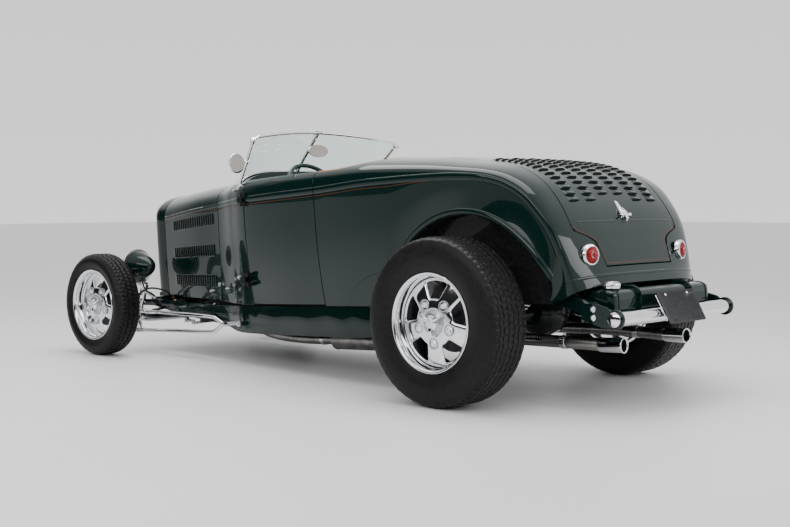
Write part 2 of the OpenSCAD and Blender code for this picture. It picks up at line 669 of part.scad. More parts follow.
// The drag link meets the right steering arm part of the way along it, below the tie rod
link_share = 0.62;
link_z = tie_z - 30;
module steering_arm() {
    tube([[-18, 0, -47], [-60, -arm_in * 0.4, -66], [-arm_back - 6, -arm_in, arm_z + 9]], 11, 10);
    translate([-arm_back, -arm_in, arm_z - 5]) cylinder(r = 15, h = 22);
}
module knuckle() {
    difference() {
        translate([0, 0, -58]) cylinder(r = 21, h = 116);
        translate([0, 0, -36]) cylinder(r = 60, h = 72);
    }
    translate([-20, 8, -58]) difference() {
        cube([40, 30, 116]);
        translate([-1, -30, 22]) cube([42, 48, 72]);
    }
    rotate([-90, 0, 0]) translate([0, 0, 34]) cylinder(r = 22, h = 34);
    rotate([-90, 0, 0]) translate([0, 0, 60]) cylinder(r = 14, h = 50);
    steering_arm();
}
module knuckle_left() color(polished) at_front() translate([0, kingpin_y, 0])
    joined() knuckle();
module knuckle_right() color(polished) at_front() mirror([0, 1, 0])
    translate([0, kingpin_y, 0]) joined() {
        knuckle();
        translate([-link_share * arm_back, -link_share * arm_in, link_z + 12])
            cylinder(r = 11, h = arm_z - link_z - 12 + 14);
    }
tie_end = [-arm_back, kingpin_y - arm_in, tie_z];
module tie_rod() color(polished) at_front() {
    translate([tie_end[0], 0, tie_end[2]]) across(2 * tie_r, 2 * tie_end[1] - 24);
    both_sides() translate(tie_end - [0, 0, 8]) cylinder(r = 14, h = 8 + tie_drop - seat_gap);
}
// The pitman arm is parallel to the right steering arm
pitman_pivot = [box_centre[0] - axle_front[0], box_centre[1], link_z];
pitman_end = pitman_pivot + [-link_share * arm_back, link_share * arm_in, 0];
link_end = [-link_share * arm_back, -kingpin_y + link_share * arm_in, link_z];
module pitman_arm() color(polished) at_front() {
    translate(pitman_pivot) cylinder(r = 15, h = 30);
    hull() for (p = [pitman_pivot, pitman_end]) translate(p + [0, 0, 9.6])
        cylinder(r = 12, h = 12, $fn = 32);
    translate(pitman_pivot + [0, 0, 30]) cylinder(r = 10, h = 9.4);
}
module drag_link() color(polished) at_front() {
    d = unit(link_end - pitman_end);
    rod(pitman_end + 12 * d, link_end - 12 * d, 8);
    for (p = [pitman_end, link_end]) translate(p - [0, 0, 9]) cylinder(r = 13, h = 18);
}

// ---- Front axle, spring and radius rods ----
beam_z = -axle_drop;
perch_y = kingpin_y - 190;
module front_axle() color(polished) at_front() joined() {
    both_sides() {
        tube(concat([[0, 0, beam_z], [0, perch_y - 60, beam_z]],
            curve([[0, perch_y, beam_z + 4], [0, perch_y + 70, beam_z + 40],
                [0, kingpin_y - 50, -12], [0, kingpin_y - 8, 0]], 8)), beam_r, 12);
        translate([0, kingpin_y, -34]) cylinder(r = 26, h = 68);
        // batwing that carries the radius rod
        translate([-24, perch_y + 60.7, 0]) rotate([90, 0, 0]) linear_extrude(10)
            polygon([[-12, -36], [8, -36], [30, beam_z + 30], [30, beam_z - 26], [8, -184],
                [-12, -184], [-14, beam_z - 26], [-14, beam_z + 30]]);
        translate([0, perch_y + 8, beam_z]) cylinder(r = 12, h = 60);
        translate([14, perch_y + 2, beam_z - 10]) cube([17, 16, 24]);
    }
}
leaves = 6;
leaf_t = 6;
leaf_step = 52;
spring_top = front_cross_z - 0.3;
module front_spring() color(dark_metal) on_frame() joined() {
    for (i = [0:leaves - 1])
        translate([axle_front[0] - 24, 0, spring_top - (i + 1) * leaf_t])
            both_sides() rotate([90, 0, 90]) linear_extrude(48)
                polygon(leaf_outline(perch_y - 12 - (leaves - 1 - i) * leaf_step));
    both_sides() translate([axle_front[0] - 30, perch_y - 20, spring_top - 72])
        cube([60, 15.7, 22]);
}
leaf_drop = 34;
function leaf_outline(reach) =
    let (ys = steps(0, reach, 8))
    concat([for (y = ys) [y, -leaf_drop * pow(y / perch_y, 2) - 0.2]],
        [for (i = [8:-1:0]) [ys[i], leaf_t - leaf_drop * pow(ys[i] / perch_y, 2)]]);
rod_front_y = perch_y + 72;
rod_rear = [-972, half - 148, -68];
rod_fork = rod_rear + [136, 2, -12];
rod_pivot = level([wheelbase + rod_rear[0], front_z + rod_rear[2]]);
module radius_rods() color(polished) at_front() both_sides() {
    joined() {
        tube(curve([[-30, rod_front_y, -52], [-380, rod_front_y - 8, -48],
            [-720, rod_fork[1] + 4, -46], [-780, rod_fork[1] + 2, -56], rod_fork], 13), hairpin_r);
        tube(curve([[-30, rod_front_y, -168], [-380, rod_front_y - 8, -150],
            [-720, rod_fork[1] + 4, -132], [-780, rod_fork[1] + 2, -116], rod_fork], 13), hairpin_r);
        tube([rod_fork + [14, 0, 0], rod_rear + [14, 0, 0]], hairpin_r + 2);
        translate(rod_rear + [0, 10, 0]) rotate([90, 0, 0]) cylinder(r = 18, h = 20);
    }
}
module damper(a, b, r_body, r_rod) {
    m = mix(a, b, 0.45);
    rod(a, m, r_body);
    rod(m, b, r_rod);
}
module shock_absorbers() color(dark_metal) {
    at_front() both_sides()
        damper([49.4, perch_y + 10, -96], [60, rail_front_y + 22, 96], 18, 24);
    on_frame() both_sides()
        damper([axle_rear[0] - 62, rail_rear_y - 60, axle_rear[1] - 34],
            [axle_rear[0] - 196, rail_rear_y - 96, 58], 24, 42);
}

// ---- Wheels and tyres, drawn along +Y outward from the tyre's middle ----
bead = 17;
rim_t = 6;
module wheel(rim_d, rim_half, dish, hub_in, hub_bore, bore_depth, brake_r, brake_in, brake_w) {
    r = rim_d / 2;
    seat = r - bead;
    inner = seat - rim_t;
    hub_r = 62;
    rotate([-90, 0, 0]) difference() {
        union() {
            rotate_extrude($fn = 72) polygon([
                [r, rim_half], [r, rim_half - 5], [seat, rim_half - 8], [seat, 8 - rim_half],
                [r, 5 - rim_half], [r, -rim_half], [inner + 12, -rim_half],
                [inner, 12 - rim_half], [inner, rim_half - 12], [inner + 12, rim_half]
            ]);
            rotate_extrude($fn = 72) polygon([
                [0, dish - 16], [hub_r, dish - 16], [inner - 30, dish - 22], [inner + 1, dish - 26],
                [inner + 1, dish - 12], [inner - 26, dish - 8], [hub_r, dish], [0, dish]
            ]);
            translate([0, 0, hub_in]) cylinder(r = 52, h = dish - hub_in - 8);
            translate([0, 0, dish - 4]) cylinder(r1 = 50, r2 = 38, h = 22);
            translate([0, 0, dish + 16]) cylinder(r = 26, h = 12);
            translate([0, 0, brake_in]) cylinder(r = brake_r, h = brake_w);
        }
        translate([0, 0, min(hub_in, brake_in) - 1])
            cylinder(r = hub_bore, h = bore_depth + hub_in - min(hub_in, brake_in) + 1);
        for (k = [0:wheel_windows - 1]) rotate([0, 0, 360 * k / wheel_windows])
            translate([0, 0, dish - 30]) linear_extrude(60)
                window(hub_r + 14, inner - 16, 360 / wheel_windows);
    }
}
module window(r0, r1, sector) {
    wide = sector * 0.36;
    narrow = sector * 0.24;
    polygon(concat(
        [for (a = steps(-narrow, narrow, 4)) r0 * [cos(a), sin(a)]],
        [for (a = steps(wide, -wide, 8)) r1 * [cos(a), sin(a)]]
    ));
}
module tyre(d, w, rim_d, rim_half) {
    r = d / 2;
    seat = rim_d / 2 - bead + 0.3;
    side = curve([[seat, rim_half - 9], [seat + 14, rim_half - 9.3], [rim_d / 2 + 3, rim_half - 4],
        [mix(rim_d / 2, r, 0.42), w / 2], [r - 22, w / 2 - 7], [r - 6, w / 2 - 22],
        [r, w / 2 - 44], [r, 0]], 21);
    rotate([-90, 0, 0]) rotate_extrude($fn = 96) polygon(concat(side,
        [for (i = [len(side) - 2:-1:0]) [side[i][0], -side[i][1]]]));
}
module front_wheel() wheel(front_rim_d, front_tyre_w / 2 - 8, 44, -34, 15, 46, 128, -32, 12);
module rear_wheel() wheel(rear_rim_d, rear_tyre_w / 2 - 9, 82, -60, 21, 80, 140, -96, 46);
module front_tyre() tyre(front_tyre_d, front_tyre_w, front_rim_d, front_tyre_w / 2 - 8);
module rear_tyre() tyre(rear_tyre_d, rear_tyre_w, rear_rim_d, rear_tyre_w / 2 - 9);
module front_left() { translate([front_x, front_track / 2, front_z]) children(); }
module rear_left() { translate([rear_x, rear_track / 2, rear_z]) children(); }
module wheel_front_left() color(polished) front_left() front_wheel();
module wheel_front_right() color(polished) mirror([0, 1, 0]) front_left() front_wheel();
module wheel_rear_left() color(polished) rear_left() rear_wheel();
module wheel_rear_right() color(polished) mirror([0, 1, 0]) rear_left() rear_wheel();
module tyre_front_left() color(tyre_black) front_left() front_tyre();
module tyre_front_right() color(tyre_black) mirror([0, 1, 0]) front_left() front_tyre();
module tyre_rear_left() color(tyre_black) rear_left() rear_tyre();
module tyre_rear_right() color(tyre_black) mirror([0, 1, 0]) rear_left() rear_tyre();

// ---- Rear axle and driveshaft ----
axle_tube_r = 38;
gearbox_tail = [1330, 0, -38];
diff_r = 122;
shaft_r = 32;
module rear_axle() color(dark_metal) on_frame() translate([axle_rear[0], 0, axle_rear[1]]) {
    across(2 * axle_tube_r, rear_track - rear_tyre_w + 20);
    across(40, rear_track + 30);
    both_sides() translate([0, rear_track / 2 - rear_tyre_w / 2 + 8, 0]) across(264, 8);
    rotate([90, 0, 0]) rotate_extrude() polygon([[0, -110], [70, -104], [112, -60],
        [diff_r, 0], [112, 60], [70, 104], [0, 110]]);
    rotate([0, 90, 0]) cylinder(r1 = 90, r2 = 52, h = 190);
    rod([180, 0, 0], gearbox_tail - [axle_rear[0], 0, axle_rear[1]], shaft_r);
    // lugs for the shock absorbers
    both_sides() rod([0, rail_rear_y - 60, 0], [-41, rail_rear_y - 60, -22.5], 16);
}

// ---- Engine and gearbox ----
engine_w = 400;
engine_low = -60;
engine_h = 520;
engine_x = cowl_x + 6;
engine_end = axle_front[0] - 276;
gearbox_z = -16;
gearbox_r = [104, 58];
gearbox_l = engine_x - 1330.3;
module engine() color(dark_metal) on_frame() {
    translate([engine_x, -engine_w / 2, engine_low])
        cube([engine_end - engine_x, engine_w, engine_h]);
    translate([engine_x, 0, gearbox_z]) rotate([0, -90, 0])
        cylinder(r1 = gearbox_r[0], r2 = gearbox_r[1], h = gearbox_l);
}
function gearbox_low(x) =
    gearbox_z - mix(gearbox_r[0], gearbox_r[1], (engine_x - x) / gearbox_l);

// ---- Seat ----
seat_x = 800;
seat_back_lean = 14;
seat_back_h = 560;
seat_back_t = 130;
cushion_l = 470;
cushion_tilt = 7;
cushion_z = 78;
pad_r = 36;
floor_top = floor_low + floor_t;
module pad(l, w, t) {
    translate([0, w / 2, 0]) rotate([90, 0, 0]) linear_extrude(w)
        hull() for (x = [pad_r, l - pad_r], z = [pad_r, t - pad_r])
            translate([x, z]) circle(pad_r, $fn = 24);
}
module seat_cushion() color(tan_leather) on_frame()
    translate([seat_x + 2, 0, cushion_z]) rotate([0, -cushion_tilt, 0])
        pad(cushion_l, seat_w, cushion_t);
// The riser under the cushion, part of the floor
riser_in = 40;
module seat_riser() {
    translate([0, seat_w / 2 - riser_in, 0]) rotate([90, 0, 0]) linear_extrude(seat_w - 2 * riser_in)
        polygon([
            for (p = [[riser_in, 1], [cushion_l - riser_in, 1], [cushion_l - riser_in, 0], [riser_in, 0]])
                let (x = seat_x + 2 + p[0] * cos(cushion_tilt))
                [x, p[1] ? cushion_z + p[0] * sin(cushion_tilt) - seat_gap : 8]
        ]);
}
// The seat back stands on the floor behind the cushion
seat_back_low = pad_r * (1 - cos(seat_back_lean)) + (seat_back_t - pad_r) * sin(seat_back_lean);
module seat_back() color(tan_leather) on_frame()
    translate([seat_x, 0, floor_top + seat_gap + seat_back_low])
        rotate([0, -90 - seat_back_lean, 0]) pad(seat_back_h, seat_w, seat_back_t);

// ---- Fuel tank, rear bar, plate and exhaust ----
tank_x = [-664, -440];
tank_z = [-50, 62];
tank_round = 44;
module fuel_tank() color(body_green) on_frame() {
    hull() for (x = [tank_x[0] + tank_round, tank_x[1] - tank_round],
                y = [-1, 1] * (tank_w / 2 - tank_round), z = [tank_z[0] + tank_round, tank_z[1] - tank_round])
        translate([x, y, z]) sphere(tank_round, $fn = 24);
    translate([tank_x[0] + 48, tank_w / 2 - 52, tank_z[1] - 20]) cylinder(r = 27, h = 26);
    translate([tank_x[0] + 48, tank_w / 2 - 52, tank_z[1] + 6]) cylinder(r = 36, h = 24);
}
bar_x = -709;
bar_z = -58;
bracket_t = 12;
bracket_y = rail_rear_y + 8.3;
module rear_bar() color(polished) on_frame() joined() {
    translate([bar_x, 0, bar_z]) across(2 * bar_r, 2 * (bracket_y + bracket_t + 12));
    both_sides() translate([0, bracket_y + bracket_t, 0]) rotate([90, 0, 0])
        linear_extrude(bracket_t) hull() {
            translate([bar_x, bar_z]) circle(bar_r + 6, $fn = 32);
            translate([-560, -24]) square([80, 60], center = true);
        }
    translate([bar_x - 4, 0, bar_z])
        rotate([0, plate_lean, 0]) translate([-bar_r - 9, -60, -30]) cube([33, 120, 60]);
    plate();
}
module plate() {
    translate([plate_low[0], 0, plate_low[1]]) rotate([0, plate_lean, 0])
        translate([0, -plate_w / 2, 0]) cube([plate_t, plate_w, plate_h]);
}
muffler_r = 52;
muffler = [[1230, 200, -196], [800, 210, -196]];
tip_l = 90;
tip_end = [-617, tailpipe_y, -183];
tip_start = tip_end + tip_l * unit([1, 0.08, 0.02]);
module exhaust() color(dark_metal) on_frame() both_sides() {
    tube(curve([[2010, engine_w / 2 + pipe_r - 3.5, -40], [1900, engine_w / 2 + pipe_r, -92],
        [1740, 232, -162], [1500, 220, -192], muffler[0]], 9), pipe_r - 4);
    rod(muffler[0], muffler[1], muffler_r);
    tube(curve([muffler[1], [560, 262, -190], [250, 300, -166], [0, 306, -158],
        [-280, 296, -168], tip_start], 15), pipe_r - 4);
    difference() {
        rod(tip_start, tip_end, pipe_r);
        rod(mix(tip_start, tip_end, 0.3), tip_end + (tip_end - tip_start), pipe_r - 4);
    }
}

// ---- Lamps ----
lamp_r = 100;
lamp = [axle_front[0] + 19, 410, 237];
module headlights() color(body_green) on_frame() both_sides() {
    translate(lamp) rotate([0, 90, 0]) rotate_extrude() polygon(concat(
        [for (t = steps(0, 1, 12)) [lamp_r * pow(t, 0.55), -130 + 150 * t]],
        [[lamp_r + 7, 22], [lamp_r + 7, 40], [lamp_r - 4, 46], [lamp_r * 0.6, 54], [0, 58]]
    ));
    tube([lamp - [0, 0, lamp_r - 6], lamp - [0, 20, lamp_r + 50],
        [lamp[0], rail_front_y - 15, 58], [lamp[0], rail_front_y - 16, 35.2]], 10.5, 12, [1, 0, 0]);
}
tail_lamp_r = 48;
module taillights() color([0.55, 0.02, 0.03]) on_frame() joined() difference() {
    both_sides() translate([-529, 368, 212]) rotate([0, -90, 8]) {
        cylinder(r = tail_lamp_r, h = 18);
        translate([0, 0, 18]) cylinder(r1 = tail_lamp_r - 6, r2 = tail_lamp_r - 22, h = 12);
    }
    panel(steps(16, tail_end, 12), function(s) steps(1, 3, 40), wall, function(i, j) true, seat_gap);
}

frame_rails();
floor_pan();
cowl();
rear_body();
wheel_wells();
dashboard();
door_left();
door_right();
deck_lid();
hood_left();
hood_right();
hood_sides();
grille_shell();
grille();
windshield_frame();
windshield_glass();
mirrors();
steering_column();
steering_wheel();
pitman_arm();
drag_link();
tie_rod();
seat_cushion();
seat_back();
engine();
front_axle();
front_spring();
radius_rods();
shock_absorbers();
knuckle_left();
knuckle_right();
wheel_front_left();
wheel_front_right();
wheel_rear_left();
wheel_rear_right();
tyre_front_left();
tyre_front_right();
tyre_rear_left();
tyre_rear_right();
rear_axle();
fuel_tank();
rear_bar();
exhaust();
headlights();
taillights();
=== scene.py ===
# Street rod roadster: the look of the car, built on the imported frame.
import bpy, bmesh, math
from mathutils import Vector, Matrix


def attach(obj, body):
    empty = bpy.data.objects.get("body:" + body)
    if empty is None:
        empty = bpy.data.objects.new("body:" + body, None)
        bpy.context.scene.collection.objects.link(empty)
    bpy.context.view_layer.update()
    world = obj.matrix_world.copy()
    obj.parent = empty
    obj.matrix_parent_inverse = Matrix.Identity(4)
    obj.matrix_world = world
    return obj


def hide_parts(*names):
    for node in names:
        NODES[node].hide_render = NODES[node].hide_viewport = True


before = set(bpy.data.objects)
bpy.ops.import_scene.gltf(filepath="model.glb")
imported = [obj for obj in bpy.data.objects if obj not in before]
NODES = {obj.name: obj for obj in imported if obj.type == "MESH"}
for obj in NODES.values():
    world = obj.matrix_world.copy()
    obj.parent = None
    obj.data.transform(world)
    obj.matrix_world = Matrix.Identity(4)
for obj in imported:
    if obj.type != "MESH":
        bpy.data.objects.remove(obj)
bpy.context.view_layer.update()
scene = bpy.context.scene
sin, cos, pi = math.sin, math.cos, math.pi

# ---------------------------------------------------------------- sizes, as in the CAD (mm)
wheelbase, body_w, rear_d, front_d = 2692, 1222, 745, 594
half = body_w / 2
base_rear = rear_d / 2 + 52
rake = math.asin((base_rear - (front_d / 2 - 27)) / wheelbase)
CR, SR = cos(rake), sin(rake)
rear_x = (779 * CR + 99 * SR - wheelbase - front_d / 2) / 2
front_x = rear_x + wheelbase
rear_z, front_z = rear_d / 2, front_d / 2


def L(p):
    """A point of the frame's level axes in mm, as a point of the row frame in metres."""
    x, y, z = p
    return Vector(((rear_x + x * CR + z * SR) / 1000, y / 1000, (base_rear - x * SR + z * CR) / 1000))


def F(p):
    """A point measured in mm from the middle of the front axle's wheel line, level."""
    return Vector(((front_x + p[0]) / 1000, p[1] / 1000, (front_z + p[2]) / 1000))


def mix(a, b, t):
    return [x + (y - x) * t for x, y in zip(a, b)] if hasattr(a, "__len__") else a + (b - a) * t


def steps(a, b, n):
    return [a + (b - a) * i / n for i in range(n + 1)]


def level(x, z):
    return (x * CR - (z - base_rear) * SR, x * SR + (z - base_rear) * CR)


axle_rear, axle_front = level(0, rear_z), level(wheelbase, front_z)

# ---------------------------------------------------------------- the body's surface
cowl_x, shell_w, cowl_w = 1951, 524, 800
shell_x = axle_front[0] - 48
arch_r = rear_d / 2 + 105
mid_x = (shell_x + cowl_x) / 2
BELT = [
    (shell_x, shell_w / 2, 528), (mid_x, (shell_w + cowl_w) / 4 + 6, 552),
    (cowl_x, cowl_w / 2, 570), (1770, half - 156, 577), (1594, half - 106, 583),
    (1275, half - 62, 588), (957, half - 33, 592), (812, half - 19, 596),
    (602, half - 5, 604), (404, half, 604), (215, half - 3, 599), (34, half - 9, 590),
    (-138, half - 19, 570), (-247, half - 31, 537), (-336, half - 47, 479),
    (-397, half - 61, 405), (-445, half - 78, 327), (-475, half - 96, 235),
    (-482, half - 111, 130), (-470, half - 124, 28)]
CREST = [
    (shell_x, 670), (mid_x, 694), (cowl_x, 711), (1770, 727), (1594, 735),
    (1275, 738), (957, 736), (790, 734), (600, 729), (430, 717), (200, 697), (40, 674),
    (-120, 648), (-240, 612), (-345, 548), (-420, 462), (-473, 370), (-515, 262),
    (-550, 160), (-580, 83)]
ROUND = [2.3, 2.35, 2.5, 2.9, 3.2, 3.4, 3.5, 3.5, 3.4, 3.2, 3.0, 2.9, 2.9, 3.0, 3.1, 3.2,
         3.4, 3.5, 3.6, 3.6]
SILL = [
    (shell_x, shell_w / 2 - 12, 50), (mid_x, (shell_w + cowl_w) / 4 - 8, 35),
    (cowl_x, cowl_w / 2 - 15, 20), (1770, half - 186, 8), (1594, half - 152, 4),
    (1275, half - 108, 4), (957, half - 82, 4), (800, half - 70, 4),
    ((800 + arch_r) / 2, half - 62, 4), (arch_r, half - 55, 4)]
ARCH_A = [6, 32, 62, 90, 110, 126, 139, 150, 159]
ARCH_Y = [55, 42, 32, 26, 26, 30, 40, 58, 84]
CORNER = [(-443, half - 84, 122), (-432, half - 104, 70), (-405, half - 120, 20)]


def knot(k, i):
    n = len(k)
    if i < 0:
        return [2 * a - b for a, b in zip(k[0], k[1])]
    if i >= n:
        return [2 * a - b for a, b in zip(k[-1], k[-2])]
    return k[i]


def spline(k, s):
    if not hasattr(k[0], "__len__"):
        return spline([(v,) for v in k], s)[0]
    i = max(0, min(len(k) - 2, math.floor(s)))
    t = s - i
    return [b + t * ((c - a) / 2 + t * (a - 2.5 * b + 2 * c - d / 2 + t * (1.5 * (b - c) + (d - a) / 2)))
            for a, b, c, d in zip(knot(k, i - 1), k[i], k[i + 1], knot(k, i + 2))]


def curve(k, n):
    return [spline(k, i * (len(k) - 1) / n) for i in range(n + 1)]


def low(s):
    if s < 9:
        return spline(SILL, s)
    if s < 17:
        a = math.radians(spline(ARCH_A, s - 9))
        return [axle_rear[0] + arch_r * cos(a), half - spline(ARCH_Y, s - 9),
                axle_rear[1] + arch_r * sin(a)]
    end = low(16.99999)
    return [e + c - r for e, c, r in zip(end, spline(CORNER, s - 17), CORNER[0])]


_cache = {}


def section(s):
    if s not in _cache:
        _cache[s] = (spline(BELT, s), spline(CREST, s), spline(ROUND, s), low(s))
    return _cache[s]


def skin(s, v):
    b, c, n, l = section(s)
    if v <= 1:
        return (mix(l[0], b[0], v), mix(l[1], b[1], 1 - (1 - v) ** 2.2), mix(l[2], b[2], v))
    a = (v - 1) * pi / 2
    ca, sa = max(cos(a), 1e-9), sin(a)
    r = (ca ** n + sa ** n) ** (1 / n)
    return (mix(b[0], c[0], sa / r), b[1] * ca / r, mix(b[2], c[1], sa / r))


def v_at_z(s, z):
    b, c, n, l = section(s)
    f = (z - b[2]) / (c[1] - b[2])
    return 1 + math.degrees(math.atan(f / (1 - f ** n) ** (1 / n))) / 90


def v_at_y(s, y):
    b, c, n, l = section(s)
    g = min(0.999, y / b[1])
    return 1 + math.degrees(math.atan((g ** -n - 1) ** (1 / n))) / 90


def whole(s, v):
    if v <= 2:
        return Vector(skin(s, v))
    p = skin(s, 4 - v)
    return Vector((p[0], -p[1], p[2]))


def normal(s, v):
    e = 0.01
    s0, s1, v0, v1 = max(0, s - e), min(19, s + e), max(0, v - e), min(4, v + e)
    return (whole(s1, v) - whole(s0, v)).cross(whole(s, v1) - whole(s, v0)).normalized()


def span(s, length):
    a, b = Vector(spline(BELT, s - 0.05)), Vector(spline(BELT, s + 0.05))
    return length / (b - a).length / 10


def crest_span(s, length):
    a, b = Vector(spline(CREST, s - 0.05)), Vector(spline(CREST, s + 0.05))
    return length / (b - a).length / 10


# ---------------------------------------------------------------- materials
MATS = {}


def mat(name, slot, color, rough=0.4, metal=0.0, coat=0.0, vary=0.12, scale=30.0, rough_vary=0.08,
        bump=0.0, bump_scale=300.0, kind="noise", trans=0.0, ior=1.45, sheen=0.0, emit=0.0):
    m = bpy.data.materials.new(name)
    m.use_nodes = True
    nt = m.node_tree
    bsdf = nt.nodes["Principled BSDF"]
    co = nt.nodes.new("ShaderNodeTexCoord")

    def put(socket, value):
        if socket in bsdf.inputs:
            bsdf.inputs[socket].default_value = value
    n1 = nt.nodes.new("ShaderNodeTexNoise")
    n1.inputs["Scale"].default_value = scale
    n1.inputs["Detail"].default_value = 5.0
    nt.links.new(co.outputs["Object"], n1.inputs["Vector"])
    ramp = nt.nodes.new("ShaderNodeValToRGB")
    ramp.color_ramp.elements[0].position, ramp.color_ramp.elements[1].position = 0.35, 0.65
    ramp.color_ramp.elements[0].color = [c * (1 - vary) for c in color] + [1]
    ramp.color_ramp.elements[1].color = [min(1, c * (1 + vary)) for c in color] + [1]
    nt.links.new(n1.outputs["Fac"], ramp.inputs["Fac"])
    nt.links.new(ramp.outputs["Color"], bsdf.inputs["Base Color"])
    rr = nt.nodes.new("ShaderNodeMapRange")
    rr.inputs["To Min"].default_value = max(0.01, rough * (1 - rough_vary))
    rr.inputs["To Max"].default_value = rough * (1 + rough_vary)
    nt.links.new(n1.outputs["Fac"], rr.inputs["Value"])
    nt.links.new(rr.outputs["Result"], bsdf.inputs["Roughness"])
    put("Metallic", metal)
    put("Coat Weight", coat)
    put("Coat Roughness", 0.015)
    if coat:
        put("Coat IOR", 1.36)
        put("Specular IOR Level", 0.05)
    if slot == "tyre":
        put("Specular IOR Level", 0.22)
    put("IOR", ior)
    put("Transmission Weight", trans)
    put("Sheen Weight", sheen)
    if emit:
        put("Emission Color", list(color) + [1])
        put("Emission Strength", emit)
    if bump:
        b = nt.nodes.new("ShaderNodeBump")
        if kind == "cells":
            t = nt.nodes.new("ShaderNodeTexVoronoi")
            out = t.outputs["Distance"]
        else:
            t = nt.nodes.new("ShaderNodeTexNoise")
            t.inputs["Detail"].default_value = 3.0
            out = t.outputs["Fac"]
        t.inputs["Scale"].default_value = bump_scale
        nt.links.new(co.outputs["Object"], t.inputs["Vector"])
        nt.links.new(out, b.inputs["Height"])
        b.inputs["Strength"].default_value = 1.0
        b.inputs["Distance"].default_value = bump
        nt.links.new(b.outputs["Normal"], bsdf.inputs["Normal"])
    MATS[name] = (m, slot)
    return name


mat("paint", "body_paint", (0.0016, 0.0125, 0.0105), 0.22, 0.0, 1.0, 0.3, 2600, 0.1, 0.000004, 900)
mat("frame_green", "frame_paint", (0.0016, 0.0105, 0.009), 0.2, 0.0, 1.0, 0.3, 900, 0.2, 0.00001, 500)
mat("copper", "body_paint", (0.14, 0.042, 0.018), 0.3, 0.3, 0.5, 0.15, 200)
mat("chrome", "chrome", (0.82, 0.83, 0.85), 0.045, 1.0, 0.0, 0.04, 40, 0.5)
mat("alloy", "polished_aluminium", (0.80, 0.81, 0.83), 0.09, 1.0, 0.0, 0.05, 60, 0.35, 0.000012, 350)
mat("alloy_cast", "polished_aluminium", (0.46, 0.47, 0.49), 0.32, 1.0, 0.0, 0.15, 90, 0.3, 0.00012, 500)
mat("steel", "polished_steel", (0.6, 0.61, 0.62), 0.16, 1.0, 0.0, 0.1, 80, 0.4)
mat("exhaust", "exhaust_steel", (0.26, 0.25, 0.24), 0.3, 1.0, 0.0, 0.25, 18, 0.4, 0.00004, 220)
# near-black: soot inside the exhaust tips, and painted shade in the louvre mouths and the plate's bolt slots
mat("soot_and_painted_shade", "exhaust_steel", (0.012, 0.011, 0.011), 0.9, 0.0, 0.0, 0.3, 60)
mat("black", "under_black", (0.010, 0.011, 0.011), 0.38, 0.0, 0.25, 0.3, 45, 0.3, 0.00004, 400)
mat("satin", "black_steel", (0.014, 0.014, 0.015), 0.33, 0.0, 0.3, 0.25, 60, 0.3, 0.00003, 500)
mat("axle_black", "axle_black", (0.010, 0.012, 0.012), 0.28, 0.0, 0.5, 0.25, 50, 0.3, 0.00004, 300)
mat("floor_paint", "floor_paint", (0.018, 0.018, 0.018), 0.6, 0.0, 0.0, 0.3, 40, 0.3, 0.0001, 300)
mat("iron", "cast_iron", (0.09, 0.09, 0.095), 0.5, 0.4, 0.1, 0.25, 35, 0.3, 0.0003, 160)
mat("rubber", "tyre", (0.0065, 0.0064, 0.0063), 0.42, 0.0, 0.0, 0.3, 60, 0.2, 0.00008, 700)
mat("hose", "tyre", (0.012, 0.012, 0.012), 0.45, 0.0, 0.0, 0.2, 90, 0.2, 0.00006, 900)
mat("brass", "polished_steel", (0.55, 0.34, 0.13), 0.25, 1.0, 0.0, 0.15, 90)
mat("leather", "tan_leather", (0.33, 0.135, 0.05), 0.48, 0.0, 0.0, 0.16, 14, 0.25, 0.00035, 520, "cells",
    sheen=0.1)
mat("carpet", "floor_paint", (0.05, 0.024, 0.012), 0.95, 0.0, 0.0, 0.35, 160, 0.1, 0.0012, 700)
mat("rim_green", "rim_plastic", (0.003, 0.022, 0.018), 0.2, 0.0, 0.8, 0.25, 120, 0.2)
mat("glass", "glass", (0.84, 0.95, 0.92), 0.01, 0.0, 0.0, 0.02, 6, 0.2, trans=1.0, ior=1.3)
mat("lens", "glass", (0.93, 0.96, 0.96), 0.03, 0.0, 0.0, 0.03, 30, 0.2, 0.0012, 60, trans=1.0, ior=1.4)
mat("red", "red_lens", (0.22, 0.002, 0.004), 0.08, 0.0, 0.6, 0.2, 60, 0.2, 0.0006, 160, "cells", emit=0.03)
mat("red_deep", "red_lens", (0.16, 0.002, 0.004), 0.12, 0.0, 0.8, 0.2, 60, 0.2)
mat("mirror", "mirror", (0.42, 0.39, 0.37), 0.015, 1.0, 0.0, 0.02, 20, 0.3)
mat("dial", "floor_paint", (0.75, 0.72, 0.62), 0.4, 0.0, 0.5, 0.08, 60)
mat("plate", "frame_paint", (0.022, 0.023, 0.024), 0.4, 0.0, 0.3, 0.2, 50, 0.3, 0.00008, 120)


def give(o, name):
    m, slot = MATS[name]
    o.data.materials.clear()
    o.data.materials.append(m)


def sharpen(me, angle=35):
    """Smooth shading with sharp edges over the angle; the vertices stay as they are."""
    for p in me.polygons:
        p.use_smooth = True
    bm = bmesh.new()
    bm.from_mesh(me)
    lim = math.radians(angle)
    for e in bm.edges:
        e.smooth = len(e.link_faces) == 2 and e.calc_face_angle(0) < lim
    bm.to_mesh(me)
    bm.free()


def bevel(o, width, segments=2, angle=35):
    b = o.modifiers.new("bevel", "BEVEL")
    b.width, b.segments, b.limit_method, b.angle_limit = width / 1000, segments, "ANGLE", math.radians(angle)
    b.harden_normals = False
    return o


